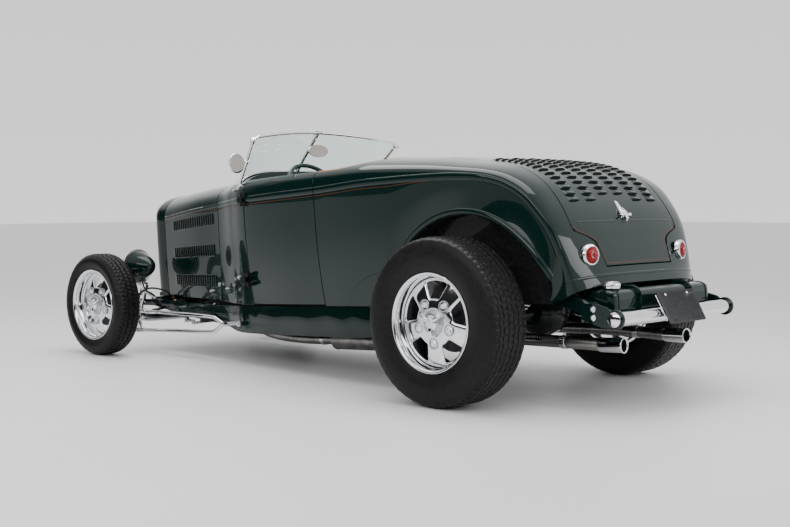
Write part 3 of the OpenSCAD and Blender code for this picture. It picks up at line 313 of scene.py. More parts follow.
class Piece:
    """Collects simple shapes of one finish on one body into one object. Sizes are in mm."""

    def __init__(self, name, material, body, to=L):
        self.name, self.material, self.body, self.to = name.replace(" ", "_"), material, body, to
        self.v, self.f = [], []

    def add(self, pts, faces, world=False):
        n = len(self.v)
        self.v += [Vector(p) if world else self.to(p) for p in pts]
        self.f += [[n + i for i in f] for f in faces]
        return self

    def grid(self, rows, closed=False, caps=False, world=False, flip=False):
        m = len(rows[0])
        faces = []
        for i in range(len(rows) - 1):
            for j in range(m if closed else m - 1):
                k = (j + 1) % m
                q = [i * m + j, i * m + k, (i + 1) * m + k, (i + 1) * m + j]
                faces.append(q[::-1] if flip else q)
        if caps:
            a = list(range(m))
            b = [(len(rows) - 1) * m + j for j in range(m)]
            faces += [a if flip else a[::-1], b[::-1] if flip else b]
        return self.add([p for r in rows for p in r], faces, world)

    def lathe(self, prof, centre, axis, segs=48, caps=False):
        """prof is [(radius, distance along the axis)]."""
        ax = Vector(axis).normalized()
        a = ax.orthogonal().normalized()
        b = ax.cross(a)
        c = Vector(centre)
        rows = [[c + ax * z + r * (cos(2 * pi * k / segs) * a + sin(2 * pi * k / segs) * b) for k in range(segs)]
                for r, z in prof]
        return self.grid(rows, True, caps)

    def rod(self, a, b, r, r2=None, segs=24, edge=0.8):
        a, b = Vector(a), Vector(b)
        n = (b - a).length
        r2 = r if r2 is None else r2
        e = min(edge, r / 3, n / 3)
        return self.lathe([(r - e, 0), (r, e), (r2, n - e), (r2 - e, n)], a, b - a, segs, True)

    def tube(self, path, r, segs=12, caps=True, flat=1.0, ref=(0, 0, 1)):
        path = [Vector(p) for p in path]
        up = Vector(ref)
        rows = []
        for i, p in enumerate(path):
            d = (path[min(i + 1, len(path) - 1)] - path[max(i - 1, 0)]).normalized()
            a = up.cross(d)
            a = a.normalized() if a.length > 1e-4 else d.orthogonal().normalized()
            b = d.cross(a)
            rr = r(i / (len(path) - 1)) if callable(r) else r
            rows.append([p + rr * (cos(2 * pi * k / segs) * a + flat * sin(2 * pi * k / segs) * b)
                         for k in range(segs)])
        return self.grid(rows, True, caps, flip=True)

    def box(self, centre, size, x=(1, 0, 0), y=(0, 1, 0)):
        x, y = Vector(x).normalized(), Vector(y).normalized()
        z = x.cross(y)
        c = Vector(centre)
        p = [c + x * (i * size[0] / 2) + y * (j * size[1] / 2) + z * (k * size[2] / 2)
             for i in (-1, 1) for j in (-1, 1) for k in (-1, 1)]
        return self.add(p, [[0, 1, 3, 2], [4, 6, 7, 5], [0, 4, 5, 1], [2, 3, 7, 6], [0, 2, 6, 4],
                            [1, 5, 7, 3]])

    def bolt(self, centre, axis, r=6, h=5):
        self.lathe([(r, 0), (r, h * .8), (r * .85, h), (0.01, h)], centre, axis, 6)
        return self.lathe([(r * 1.35, 0), (r * 1.35, h * .2), (r, h * .25)], centre, axis, 20)

    def done(self, bev=0.0, angle=35, segments=2, replaces=()):
        me = bpy.data.meshes.new(self.name)
        me.from_pydata([tuple(v) for v in self.v], [], self.f)
        bm = bmesh.new()
        bm.from_mesh(me)
        bmesh.ops.remove_doubles(bm, verts=bm.verts, dist=1e-6)
        bmesh.ops.recalc_face_normals(bm, faces=bm.faces)
        bm.to_mesh(me)
        bm.free()
        sharpen(me, angle)
        o = bpy.data.objects.new(self.name, me)
        scene.collection.objects.link(o)
        if bev:
            bevel(o, bev, segments, angle)
        give(o, self.material)
        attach(o, self.body)
        if replaces:
            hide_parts(*replaces)
        return o


# ---------------------------------------------------------------- body panels
gap, wall, door_t, lid_t, hood_t = 6.0, 30, 52, 22, 6
corner_n, rear_rim_y, rim_z = 2.4, half - 216, 680
LID_HALF = [(10, 395), (12, 404), (14, 413), (16.2, 420), (16.45, 408), (16.7, 330), (16.9, 290),
            (17.2, 276), (18, 262)]


def lookup(x, table):
    if x <= table[0][0]:
        return table[0][1]
    for (a, p), (b, q) in zip(table, table[1:]):
        if x <= b:
            return p + (q - p) * (x - a) / (b - a)
    return table[-1][1]


def side_rim_y(s):
    return skin(s, v_at_z(s, rim_z))[1]


def opening_y(s):
    if s < 7:
        return side_rim_y(s)
    if s < 8.4:
        t = (s - 7) / 1.4
        return mix(rear_rim_y, side_rim_y(7), (1 - t ** corner_n) ** (1 / corner_n))
    return rear_rim_y if s < 10 else lookup(s, LID_HALF) + rear_rim_y - 395


def lid_gap(s):
    return gap * 1.1 if 16.3 < s < 17.1 else gap / 2


def panel(name, rows, v_of, thick, body, node, keep=None, bev=2.2, material="paint"):
    outer = [[whole(s, v) for v in v_of(s)] for s in rows]
    inner = [[whole(s, v) - thick * normal(s, v) for v in v_of(s)] for s in rows]
    nr, nc = len(rows), len(outer[0])
    keep = keep or (lambda i, j: True)

    def here(i, j):
        return 0 <= i < nr - 1 and 0 <= j < nc - 1 and keep(i, j)
    p = Piece(name, material, body)
    o, n = (lambda i, j: i * nc + j), (lambda i, j: nr * nc + i * nc + j)
    faces = []
    for i in range(nr - 1):
        for j in range(nc - 1):
            if not here(i, j):
                continue
            faces.append([o(i, j), o(i, j + 1), o(i + 1, j + 1), o(i + 1, j)])
            faces.append([n(i, j), n(i + 1, j), n(i + 1, j + 1), n(i, j + 1)])
            if not here(i, j - 1):
                faces.append([o(i, j), o(i + 1, j), n(i + 1, j), n(i, j)])
            if not here(i, j + 1):
                faces.append([o(i + 1, j + 1), o(i, j + 1), n(i, j + 1), n(i + 1, j + 1)])
            if not here(i - 1, j):
                faces.append([o(i, j + 1), o(i, j), n(i, j), n(i, j + 1)])
            if not here(i + 1, j):
                faces.append([o(i + 1, j), o(i + 1, j + 1), n(i + 1, j + 1), n(i + 1, j)])
    p.add([q for r in outer for q in r] + [q for r in inner for q in r], faces)
    ob = p.done(bev, 50, 3, replaces=[node])
    return ob


# cowl
panel("Cowl skin", [2.01] + steps(2.06, 3.94, 32) + [4 - span(4, gap) / 2],
      lambda s: steps(0, 1, 20) + steps(1.06, 2.94, 60) + steps(3, 4, 20), wall, "chassis", "cowl")


# rear body
def body_cols(s):
    e = v_at_y(s, opening_y(s) + lid_gap(s))
    h = steps(0, 1, 18) + [mix(1, e, t) for t in steps(0, 1, 16)[1:]] + [mix(e, 2, t) for t in steps(0, 1,
                                                                                                     8)[1:]]
    return h + [4 - v for v in h[-2::-1]]


EDGE = 34
LAST = 2 * (18 + 16 + 8)
lid_f, lid_r = crest_span(10, gap / 2), crest_span(18, gap / 2)
lid_rows = steps(10.15, 16.2, 60) + [16.3, 16.38, 16.45, 16.52, 16.6, 16.68, 16.76, 16.84, 16.92, 17.0,
                                     17.08,
                                     17.2, 17.35, 17.5, 17.65, 17.8, 17.9]
rows = ([6 + span(6, gap) / 2] + steps(6.1, 7, 9)
        + [7 + 1.4 * sin(pi / 2 * t) for t in steps(0, 1, 22)[1:]] + steps(8.5, 9.9, 14)
        + [10 - lid_f] + lid_rows + [18 + lid_r] + steps(18.15, 19, 8))
panel("Rear body skin", rows, body_cols, wall, "chassis", "rear_body",
      lambda i, j: j < EDGE or j >= LAST - EDGE or rows[i] > 18 or (rows[i] >= 8.399 and rows[i + 1] < 10))


def lid_cols(s):
    e = v_at_y(s, opening_y(s) - lid_gap(s))
    return steps(e, 4 - e, 64)


panel("Deck lid skin", [10 + lid_f] + lid_rows + [18 - lid_r], lid_cols, lid_t, "deck_lid", "deck_lid")

for side, sign in (("left", 1), ("right", -1)):
    flip = (lambda v: v) if sign > 0 else (lambda v: 4 - v)

    def cols(s, flip=flip):
        c = [flip(v) for v in steps(0.012, 1,
                                    22) + [mix(1, v_at_z(s, rim_z), t) for t in steps(0, 1, 10)[1:]]]
        return c if c[0] < c[-1] else c[::-1]
    panel(f"Door skin {side}", steps(4 + span(4, gap) / 2, 6 - span(6, gap) / 2, 46), cols, door_t,
          f"door_{side}", f"door_{side}")

    def top(s, flip=flip):
        c = [flip(v) for v in steps(1.025, v_at_y(s, 5.9), 30)]
        return c if c[0] < c[-1] else c[::-1]
    panel(f"Hood top {side}", steps(span(.1, gap), 2 - span(1.9, gap), 40), top, hood_t,
          f"hood_{side}", f"hood_{side}")

# ---- hood sides with three rows of louvres, as one grid a side whose louvre slots stand out
ROWS_Z = [(0.80, 0.925), (0.47, 0.60), (0.145, 0.275)]


def hood_side(sign):
    s0, s1 = span(.1, 2.5), 2 - span(1.9, 2.5)
    n = 20
    first, last = 0.34, 1.80
    pitch = (last - first) / n
    vs = sorted(set(steps(0.01, 0.98, 26) + [z + d for a, b in ROWS_Z for z in steps(a, b, 8) for d in (0,)]
                    + [z + d for a, b in ROWS_Z for z in (a, b) for d in (-0.006, 0.006)]))
    ss = sorted(set(steps(s0, s1, 24) + [first + pitch * (k + q) for k in range(n)
                                         for q in (0.02, 0.12, 0.28, 0.46, 0.62, 0.72, 0.76)]))

    def out(s, v):
        for a, b in ROWS_Z:
            if a <= v <= b and first <= s <= last:
                q = ((s - first) / pitch) % 1
                end = max(0.0, 1 - (2 * abs((v - a) / (b - a) - .5)) ** 8) ** .5
                if q <= .74:
                    return 7.0 * end * (sin(pi / 2 * min(1, q / .62)) ** 1.4) * (1 if q < .73 else 0.0)
        return 0.0
    rows_ = []
    for s in ss:
        r = []
        for v in vs:
            w = v if sign > 0 else 4 - v
            r.append(whole(s, w) + normal(s, w) * out(s, v))
        rows_.append(r)
    return rows_


p = Piece("Hood side panels", "paint", "chassis")
for sign in (1, -1):
    g = hood_side(sign)
    p.grid(g)
ob = p.done(0, 40, replaces=["hood_sides"])
so = ob.modifiers.new("thick", "SOLIDIFY")
so.thickness, so.offset = 0.002, -1

# ---- black mouths of the hood's louvres: near-black sheets across the openings, painted shade for the dark inside of the hood
p = Piece("Hood louvre mouths", "soot_and_painted_shade", "chassis")
for sign in (1, -1):
    first, last, n = 0.34, 1.80, 20
    pitch = (last - first) / n
    for a, b in ROWS_Z:
        for k in range(n):
            s = first + pitch * (k + .74)
            g = []
            for v in steps(mix(a, b, .06), mix(a, b, .94), 10):
                w = v if sign > 0 else 4 - v
                h = 6.2 * max(0.0, 1 - (2 * abs((v - a) / (b - a) - .5)) ** 8) ** .5
                g.append([whole(s, w) + normal(s, w) * .3,
                          whole(s + pitch * .02, w) + normal(s, w) * max(.5, h)])
            p.grid(g)
p.done()

# ---- grille shell: a smooth nose round the outline of the hood
NOSE = [(2, 0), (60, 1), (96, 8), (116, 22), (126, 42), (120, 58)]


def nose_point(v, x, inset):
    n = normal(0, v)
    n = Vector((0, n.y, n.z)).normalized()
    q = whole(0, v)
    return (shell_x + x, q.y - inset * n.y, q.z - inset * n.z)


p = Piece("Grille shell skin", "paint", "chassis")
nose = curve(NOSE, 34)
vs = steps(0, 1, 24) + steps(1.05, 2.95, 56) + steps(3, 4, 24)
outer = [[nose_point(v, x, i) for v in vs] for x, i in nose]
inner = [[nose_point(v, x - 6 * min(1, i / 20), i + 6 * max(.2, 1 - i / 30)) for v in vs] for x, i in nose]
ring = outer + inner[::-1]
p.grid(ring + [outer[0]])
p.box((shell_x + 73, 0, 61), (66, shell_w - 24, 24))
p.done(1.0, 40, 2, replaces=["grille_shell"])

p = Piece("Grille bars", "steel", "chassis")
gb, gp = 15, (shell_w / 2 - 74) / 15
x0 = shell_x + 100
for sg in (1, -1):
    for i in range(gb + 1):
        y = 3 + i * gp
        b_, h_ = shell_w / 2 - 60, 670 - 60 - 528
        zt = 528 + h_ * max(0, 1 - (y / b_) ** 2.3) ** (1 / 2.3) - 4
        p.tube([(x0 + 7 - y * .1763, sg * y, 76), (x0 + 7 - y * .1763, sg * y, zt)], 3.4, 10, ref=(0, 1, 0))
    for z in (83, 253, 423):
        p.tube([(x0 - 4, sg * 2, z), (x0 - 4 - gb * gp * .1763, sg * (2 + gb * gp), z)], 3, 8)
p.done(0, 40, replaces=["grille"])
p = Piece("Radiator core", "black", "chassis")
p.box((shell_x + 30, 0, 301), (38, shell_w - 50, 448))
for k in range(44):
    p.box((shell_x + 51, 0, 84 + k * 10), (5, shell_w - 60, 2))
p.done(1)

# ---------------------------------------------------------------- mouldings and pinstripes
def raised(name, path, width, height, material="paint", body="chassis", segs=10):
    """A rounded bead along the skin: path is [(s, v)]."""
    p = Piece(name, material, body)
    rows_ = []
    pts = [(whole(s, v), normal(s, v)) for s, v in path]
    for i, (c, n) in enumerate(pts):
        d = (pts[min(i + 1, len(pts) - 1)][0] - pts[max(i - 1, 0)][0]).normalized()
        t = n.cross(d).normalized()
        rows_.append([c + t * (width / 2) * cos(pi * k / segs) + n * (height * sin(pi * k / segs) - .25)
                      for k in range(segs + 1)])
    p.grid(rows_)
    return p.done(0, 60)


def stripe(p, path, width=2.2, lift=0.35):
    pts = [(whole(s, v), normal(s, v)) for s, v in path]
    rows_ = []
    for i, (c, n) in enumerate(pts):
        d = (pts[min(i + 1, len(pts) - 1)][0] - pts[max(i - 1, 0)][0]).normalized()
        t = n.cross(d).normalized()
        rows_.append([c + t * width / 2 + n * lift, c - t * width / 2 + n * lift])
    p.grid(rows_)


def side_v(v, sign):
    return v if sign > 0 else 4 - v


def belt_path(s0, s1, n, v0, sign):
    return [(s, side_v(v0(s) if callable(v0) else v0, sign)) for s in steps(s0, s1, n)]


parts = [("cowl", "chassis", 2.03, 4 - span(4, 6) / 2),
         ("door", "door", 4 + span(4, 6) / 2, 6 - span(6, 6) / 2),
         ("quarter", "chassis", 6 + span(6, 6) / 2, 17.2)]
for side, sign in (("left", 1), ("right", -1)):
    for name, body, s0, s1 in parts:
        n = max(12, int((s1 - s0) * 14))
        bd = body if body == "chassis" else f"door_{side}"
        raised(f"Belt moulding {name} {side}", belt_path(s0, s1, n, .985, sign), 34, 5.0, body=bd, segs=14)
        q = Piece(f"Belt pinstripe {name} {side}", "copper", bd)
        stripe(q, belt_path(s0, s1, n, .938, sign), 2.6, .6)
        if name != "quarter":
            stripe(q, belt_path(s0, s1, n, lambda s: 1.03, sign), 1.8, .9)
        q.done()
    raised(f"Hood belt bead {side}", belt_path(span(.1, 3), 2 - span(1.9, 3), 24, .985, sign), 22, 3.2,
           segs=10)
    q = Piece(f"Hood pinstripe {side}", "copper", "chassis")
    stripe(q, belt_path(span(.1, 4), 2 - span(1.9, 4), 24, .953, sign), 2.2, .6)
    q.done()
    # rounded lip round the wheel arch
    raised(f"Arch lip {side}", [(s, side_v(.02, sign)) for s in steps(8.95, 17.0, 120)], 30, 7, segs=14)

# crease ahead of the rear wheel, and the tail panel's lower crease
for side, sign in (("left", 1), ("right", -1)):
    knots = [(7.2, .015), (7.35, .10), (7.75, .185), (8.3, .245), (8.8, .27)]
    raised(f"Quarter crease {side}", [(a, side_v(b, sign)) for a, b in curve(knots, 30)], 7, 1.3, segs=6)
raised("Tail crease", [(18.45, v) for v in steps(1.12, 2.88, 60)], 14, 2.2, segs=8)
raised("Lid crease", [(16.12, v) for v in steps(v_at_y(16.12, 372), 4 - v_at_y(16.12, 372), 50)], 9, 1.6,
       body="deck_lid", segs=8)
p = Piece("Lid pinstripe", "copper", "deck_lid")
low_edge = [(s, v_at_y(s, opening_y(s) - lid_gap(s) - 11)) for s in
            steps(16.2, 16.3, 2) + [16.38, 16.45, 16.52, 16.6, 16.68, 16.76, 16.84, 16.92, 17.0, 17.1,
                                    17.3, 17.5,
                                    17.7, 17.82]]
stripe(p, low_edge + [(17.86, v) for v in steps(low_edge[-1][1] + .02, 4 - low_edge[-1][1] - .02, 24)]
       + [(s, 4 - v) for s, v in low_edge[::-1]], 2.6, .5)
p.done()

# ---- eyebrow louvres on the deck lid
# the mouth of each louvre is a near-black sheet across its opening: painted shade
p, q = Piece("Lid louvres", "paint", "deck_lid"), Piece("Lid louvre mouths", "soot_and_painted_shade", "deck_lid")
for y, count in ((-310, 14), (-186, 14), (-62, 13), (62, 13), (186, 14), (310, 14)):
    marks, s = [], 11.2
    while len(marks) < count:
        ds = crest_span(s, 37)
        marks.append((s, ds))
        s += ds
    for s, ds in marks:
        g, mouth = [], []
        for w in steps(0, 1, 7):
            r = []
            for u in steps(-1, 1, 14):
                yy = y + u * 39
                ss = s + ds * .80 * w
                v = v_at_y(ss, max(abs(yy), .6))
                v = v if yy > 0 else 4 - v
                h = 10.5 * max(0.0, 1 - abs(u) ** 2.6) ** .6 * sin(pi / 2 * w) ** 1.3
                r.append(whole(ss, v) + normal(ss, v) * (h + .15))
                if w == 1:
                    mouth.append((whole(ss, v) + normal(ss, v) * .2,
                                  whole(ss, v) + normal(ss, v) * max(.25, h - .8)))
            g.append(r)
        p.grid(g)
        q.grid([[a for a, b in mouth], [b for a, b in mouth]])
o = p.done(0, 50)
so = o.modifiers.new("thick", "SOLIDIFY")
so.thickness, so.offset = 0.0014, -1
q.done()

# ---- deck lid handle
n0 = normal(15.6, 2)
top_, bot_ = whole(15.15, 2), whole(16.0, 2)
d0 = (bot_ - top_).normalized()
p = Piece("Deck lid handle", "chrome", "deck_lid")
ln = (bot_ - top_).length
rows_ = []
for t in steps(0, 1, 16):
    c = top_ + d0 * ln * t
    w, h = mix(5, 21, t ** .8), mix(6, 17, t) * min(1, 8 * t + .3) * min(1, 10 * (1 - t) + .5)
    rows_.append([c + Vector((0, w * cos(a), 0)) + n0 * (h * sin(a) ** .7 if sin(a) > 0 else 0)
                  for a in [pi * k / 12 for k in range(13)]])
p.grid(rows_)
p.tube([c for c in [bot_ - d0 * 8 + n0 * 14 + Vector((0, y, 0)) for y in steps(-34, 34, 10)]],
       lambda t: 4.5 + 4.5 * abs(2 * t - 1) ** 2, 14)
for sg in (1, -1):
    p.lathe([(9, -3), (10, 0), (8, 4), (0.1, 6)], bot_ - d0 * 8 + n0 * 14 + Vector((0, sg * 34, 0)),
            (0, sg, 0), 20)
    p.tube([bot_ - d0 * 46 + n0 * 9 + Vector((0, sg * 8, 0)),
            bot_ - d0 * 24 + n0 * 12 + Vector((0, sg * 21, 0)),
            bot_ - d0 * 2 + n0 * 9 + Vector((0, sg * 27, 0))], 4.5, 12)
p.tube([bot_ - d0 * 40 + n0 * 4, bot_ - d0 * 10 + n0 * 18, bot_ + d0 * 14 + n0 * 15,
        bot_ + d0 * 20 + n0 * 9], 6.5, 16)
p.done(0, 40)

# ---- external door hinges
for side, sg in (("left", 1), ("right", -1)):
    hy = skin(4, .85)[1] + 16
    for tag, z, body, dz, d in [("cowl", 560, "chassis", 0, 1), ("cowl", 130, "chassis", 0, 1),
                                ("door", 560, f"door_{side}", -20.5, -1),
                                ("door", 560, f"door_{side}", 30.5, -1),
                                ("door", 130, f"door_{side}", -20.5, -1),
                                ("door", 130, f"door_{side}", 30.5, -1)]:
        h = 30 if tag == "cowl" else 20
        p = Piece(f"Hinge {tag} {side} {z + dz:.0f}", "satin", body)
        y0 = skin(4, min(1, z / 583))[1] - 2
        p.rod((1594, sg * hy, z + dz), (1594, sg * hy, z + dz + h), 7.2, edge=1.2)
        p.box((1594 + d * 17, sg * (y0 + hy + 3) / 2, z + dz + h / 2), (26, hy + 3 - y0, h))
        p.box((1594 + d * 3, sg * hy, z + dz + h / 2), (8, 6, h))
        p.done(1.5, 35)

# ---------------------------------------------------------------- wheels and tyres
def G(p):
    return Vector(p) / 1000


def wheel(name, body, x, y, z, sg, rim_d, rim_half, dish, tyre_d, tyre_w, brake_r, brake_in, brake_w,
          nodes):
    r, seat = rim_d / 2, rim_d / 2 - 17
    inner = seat - 6
    ax = (0, sg, 0)
    c = (x, y, z)
    p = Piece(f"{name} rim", "alloy", body, G)
    hh = rim_half
    p.lathe([(r - 1.5, hh + .4), (r, hh - 1.5), (r, hh - 4.5), (seat, hh - 8), (seat, 8 - hh), (r, 5 - hh),
             (r, -hh),
             (inner + 12, -hh), (inner, 12 - hh), (inner, hh - 30), (inner + 1, hh - 20),
             (inner + 5, hh - 14),
             (inner + 7, hh - 9), (r - 12, hh - 4), (r - 8, hh - .5), (r - 4, hh + .6), (r - 1.5, hh + .4)],
            c, ax, 128)
    p.done(0, 30, replaces=nodes[:1])
    # disc with rounded windows
    r0, r1 = mix(62, inner, .34), inner - 15
    radii = [50, 64, r0, mix(r0, r1, .36), mix(r0, r1, .7), r1, inner + .5]

    def face(rad):
        return dish - 22 * ((rad - 50) / (inner - 50)) ** 1.6
    p = Piece(f"{name} disc", "alloy", body, G)
    pts, faces = [], []
    m = 40
    for rad in radii:
        a_w = math.radians(lookup(rad, [(r0, 14), (r1, 20)]))
        for k in range(5):
            base = 2 * pi * k / 5 + pi / 2
            angs = [base + a_w * f for f in (-1, -.6, -.2, .2, .6)] + \
                   [base + mix(a_w, 2 * pi / 5 - a_w, f) for f in (0, .33, .67)]
            pts += [Vector((x + rad * cos(a), y + sg * face(rad), z + rad * sin(a))) for a in angs]
    for i in range(len(radii) - 1):
        for j in range(m):
            if 2 <= i < 5 and j % 8 < 5:
                continue
            k = (j + 1) % m
            faces.append([i * m + j, i * m + k, (i + 1) * m + k, (i + 1) * m + j])
    p.add(pts, faces)
    o = p.done()
    for poly in o.data.polygons:
        poly.use_smooth = True
    for e in o.data.edges:
        e.use_edge_sharp = False
    out = sum(pl.normal.y for pl in o.data.polygons)
    s_ = o.modifiers.new("thick", "SOLIDIFY")
    s_.thickness, s_.offset = 0.015, (-1 if out * sg > 0 else 1)
    sub = o.modifiers.new("round", "SUBSURF")
    sub.levels = sub.render_levels = 2
    # hub, lugs and the three-wing spinner
    p = Piece(f"{name} hub", "alloy_cast", body, G)
    o_ = lambda h: (x, y + sg * h, z)
    p.lathe([(60, face(60) - 4), (58, dish + 3), (50, dish + 7), (44, dish + 14), (30, dish + 16)], o_(0),
            ax, 10)
    for k in range(5):
        a = 2 * pi * (k + .5) / 5 + pi / 2
        cc = (x + 92 * cos(a), y, z + 92 * sin(a))
        p.lathe([(25, face(92) - 1), (25, face(92) + 3), (21, face(92) + 4), (19, face(92) - 2),
                 (15, face(92) - 2)],
                cc, ax, 32)
    p.lathe([(52, brake_in * .5), (52, dish - 12)], o_(0), ax, 40)
    p.done(0.8, 25)
    p = Piece(f"{name} spinner", "chrome", body, G)
    p.lathe([(34, dish + 12), (34, dish + 18), (28, dish + 22), (22, dish + 25), (20, dish + 28),
             (.1, dish + 28.5)],
            o_(0), ax, 48)
    for k in range(5):
        a = 2 * pi * (k + .5) / 5 + pi / 2
        cc = (x + 92 * cos(a), y, z + 92 * sin(a))
        p.lathe([(13, face(92) - 2), (13, face(92) + 6), (10, face(92) + 9), (.1, face(92) + 9.5)], cc, ax,
                6)
    for k in range(3):
        a = 2 * pi * k / 3 + .5
        u, w = Vector((cos(a), 0, sin(a))), Vector((-sin(a), 0, cos(a)))
        rows_ = []
        for t in steps(0, 1, 8):
            cc = Vector(o_(dish + 20 + 5 * sin(pi * t))) + u * mix(16, 66, t)
            wd, th = mix(11, 8, t) * (1 if t < .95 else .7), mix(6, 3.5, t)
            rows_.append([cc + w * wd * cos(b) + Vector((0, th * sin(b),
                                                         0)) for b in [2 * pi * j / 14 for j in range(14)]])
        p.grid(rows_, True, True)
    p.done(0.6, 40)
    p = Piece(f"{name} brake", "iron", body, G)
    p.lathe([(brake_r, brake_in), (brake_r, brake_in + brake_w), (60, brake_in + brake_w + 1),
             (24, brake_in + brake_w + 1)],
            o_(0), ax, 64)
    p.lathe([(24, brake_in), (brake_r, brake_in)], o_(0), ax, 64)
    p.done(1, 30)
    # tyre
    R, w2 = tyre_d / 2, tyre_w / 2
    side = curve([(seat + .4, rim_half - 9), (seat + 14, rim_half - 9.3), (r + 3, rim_half - 4),
                  (mix(r, R, .42), w2), (R - 22, w2 - 7), (R - 6, w2 - 22), (R, w2 - 44)], 30)
    half_prof = [(a, b, 0) for a, b in side]
    # rings on the sidewall
    half_prof = [(a, b + (1.6 if abs(a - mix(r, R, .16)) < 3.2 or abs(a - mix(r, R, .70)) < 2.6 else 0), f)
                 for a, b, f in half_prof]
    edge = w2 - 44
    cross = [(None, b, 1) for b in steps(edge, -edge, 56)[1:-1]]
    prof = half_prof + cross + [(a, -b, f) for a, b, f in half_prof[::-1]]
    segs = 288
    grooves = [f * w2 for f in ((-.62, -.34, -.08, .2, .48, .70) if tyre_w > 200 else (-.55, -.2, .2, .55))]
    blocks = 72
    rows_ = []
    for k in range(segs):
        a = 2 * pi * k / segs
        ph = (k * blocks / segs) % 1
        zig = 2.2 if (k // 4) % 2 else -2.2
        row = []
        for rad, b, f in prof:
            if rad is None:
                rad = R
            if abs(b) < w2 - 12 and rad > R - 9:
                d = min(abs(b - g - zig) for g in grooves)
                cut = 6.5 if d < 2.6 else 0
                band = sum(1 for g in grooves if b > g)
                sip = (ph + .37 * band) % 1
                if sip < .25:
                    cut = max(cut, 4.2 if abs(b) > abs(grooves[-1]) or abs(b) > abs(grooves[0]) else 2.6)
                rad -= cut
            elif rad > R - 24 and abs(b) > w2 - 24 and (k // 3) % 2:
                rad -= 1.6
            row.append(Vector((x + rad * cos(a), y + sg * b, z + rad * sin(a))))
        rows_.append(row)
    p = Piece(f"{name} tyre", "rubber", body, G)
    p.grid(rows_ + [rows_[0]])
    p.done(0, 28, replaces=nodes[1:])


for tag, sg in (("left", 1), ("right", -1)):
    wheel(f"Front {tag} wheel", f"front_{tag}_wheel", front_x, sg * 700, front_z, sg, 412, 70.5, 44, 594,
          157,
          128, -32, 12, [f"wheel_front_{tag}", f"tyre_front_{tag}"])
    wheel(f"Rear {tag} wheel", f"rear_{tag}_wheel", rear_x, sg * 707, rear_z, sg, 441, 111, 82, 745, 240,
          140, -96, 46, [f"wheel_rear_{tag}", f"tyre_rear_{tag}"])

# ---------------------------------------------------------------- lamps
lamp = Vector((axle_front[0] + 19, 410, 237))
for tag, sg in (("left", 1), ("right", -1)):
    c = Vector((lamp.x, sg * lamp.y, lamp.z))
    p = Piece(f"Headlight bucket {tag}", "paint", "chassis")
    p.lathe([(100 * t ** .55 + .01, -130 + 150 * t) for t in steps(0, 1, 36)] + [(101, 24), (99, 26),
                                                                                 (96, 20)],
            c, (1, 0, 0), 72)
    p.done(0, 50, replaces=["headlights"] if sg > 0 else [])
    p = Piece(f"Headlight rim {tag}", "chrome", "chassis")
    p.lathe([(98, 20), (105, 21), (107, 25), (107, 33), (105, 39), (99, 43), (93, 44), (91, 41), (93, 36)],
            c, (1, 0, 0), 72)
    p.box(c + Vector((30, 0, -108)), (14, 12, 8))
    p.done(0, 40)
    p = Piece(f"Headlight glass {tag}", "lens", "chassis")
    p.lathe([(93, 40), (70, 49), (45, 54), (20, 57), (.1, 58)], c, (1, 0, 0), 64)
    p.lathe([(.1, 55), (20, 54), (45, 51), (70, 46), (92, 37)], c, (1, 0, 0), 64)
    p.done(0, 60)
    p = Piece(f"Headlight reflector {tag}", "mirror", "chassis")
    p.lathe([(90 * t ** .6 + .1, -40 + 74 * t) for t in steps(0, 1, 20)], c, (1, 0, 0), 64)
    p.lathe([(12, -36), (12, -8), (8, 0), (.1, 3)], c, (1, 0, 0), 24)
    p.done(0, 60)
    p = Piece(f"Headlight stripe {tag}", "copper", "chassis")
    p.lathe([(98.8, 6), (99.6, 8.6)], c, (1, 0, 0), 72)
    rows_ = []
    for t in steps(0, 1, 24):
        xx = -118 + 120 * t
        rr = 100 * max(.01, (xx + 130) / 150) ** .55 + .5
        w = .012 + .05 * sin(pi * t) ** 2
        rows_.append([c + Vector((xx, rr * sin(a), rr * cos(a))) for a in (-w, 0, w)])
    p.grid(rows_)
    p.done()
    p = Piece(f"Headlight stand {tag}", "chrome", "chassis")
    base = Vector((lamp.x, sg * 319, 35))
    p.tube([c + Vector((0, 0, -96)), c + Vector((0, -sg * 8, -120)), c + Vector((0, -sg * 24, -152)),
            Vector((lamp.x, sg * 352, 70)), Vector((lamp.x, sg * 324, 52)), base], 12, 20, ref=(1, 0, 0))
    p.lathe([(18, -98), (18, -92), (14, -90)], c, (0, 0, 1), 32)
    p.rod(base + Vector((0, 0, 0)), base + Vector((0, 0, 9)), 21)
    p.lathe([(13.5, 0), (16, 2), (13.5, 4)], c + Vector((0, -sg * 20, -146)), (0, 1, 0), 24)
    p.done(.8, 35)
    # tail lamp
    ax = Vector((-cos(math.radians(8)), sin(math.radians(8)) * sg * 0 - .0, 0))
    ax = Vector((-cos(math.radians(8)), -sin(math.radians(8)) * 0, 0)).normalized()
    t0 = Vector((-529, sg * 368, 212))
    ax = Vector((-.985, .17 * sg, 0)).normalized()
    p = Piece(f"Tail lamp rim {tag}", "chrome", "chassis")
    p.lathe([(47, -4), (48, 8), (47, 14), (43, 19), (38, 20), (36, 17)], t0, ax, 56)
    p.lathe([(14, 27.5), (14, 29), (12, 30)], t0, ax, 32)
    p.done(0, 40, replaces=["taillights"] if sg > 0 else [])
    p = Piece(f"Tail lamp lens {tag}", "red", "chassis")
    p.lathe([(37, 17), (34, 22), (27, 26.5), (18, 29), (8, 30), (.1, 30.2)], t0, ax, 56)
    p.done(0, 60)
    p = Piece(f"Tail lamp cup {tag}", "red_deep", "chassis")
    p.lathe([(36, 16), (20, 10), (.1, 8)], t0, ax, 40)
    p.done(0, 60)

# rod that both hood tops turn on
p = Piece("Hood hinge rod", "satin", "chassis")
p.rod((1931, 0, 706.9), (axle_front[0] - 47.6, 0, 665.4), 5.2)
p.done(.6, 35)

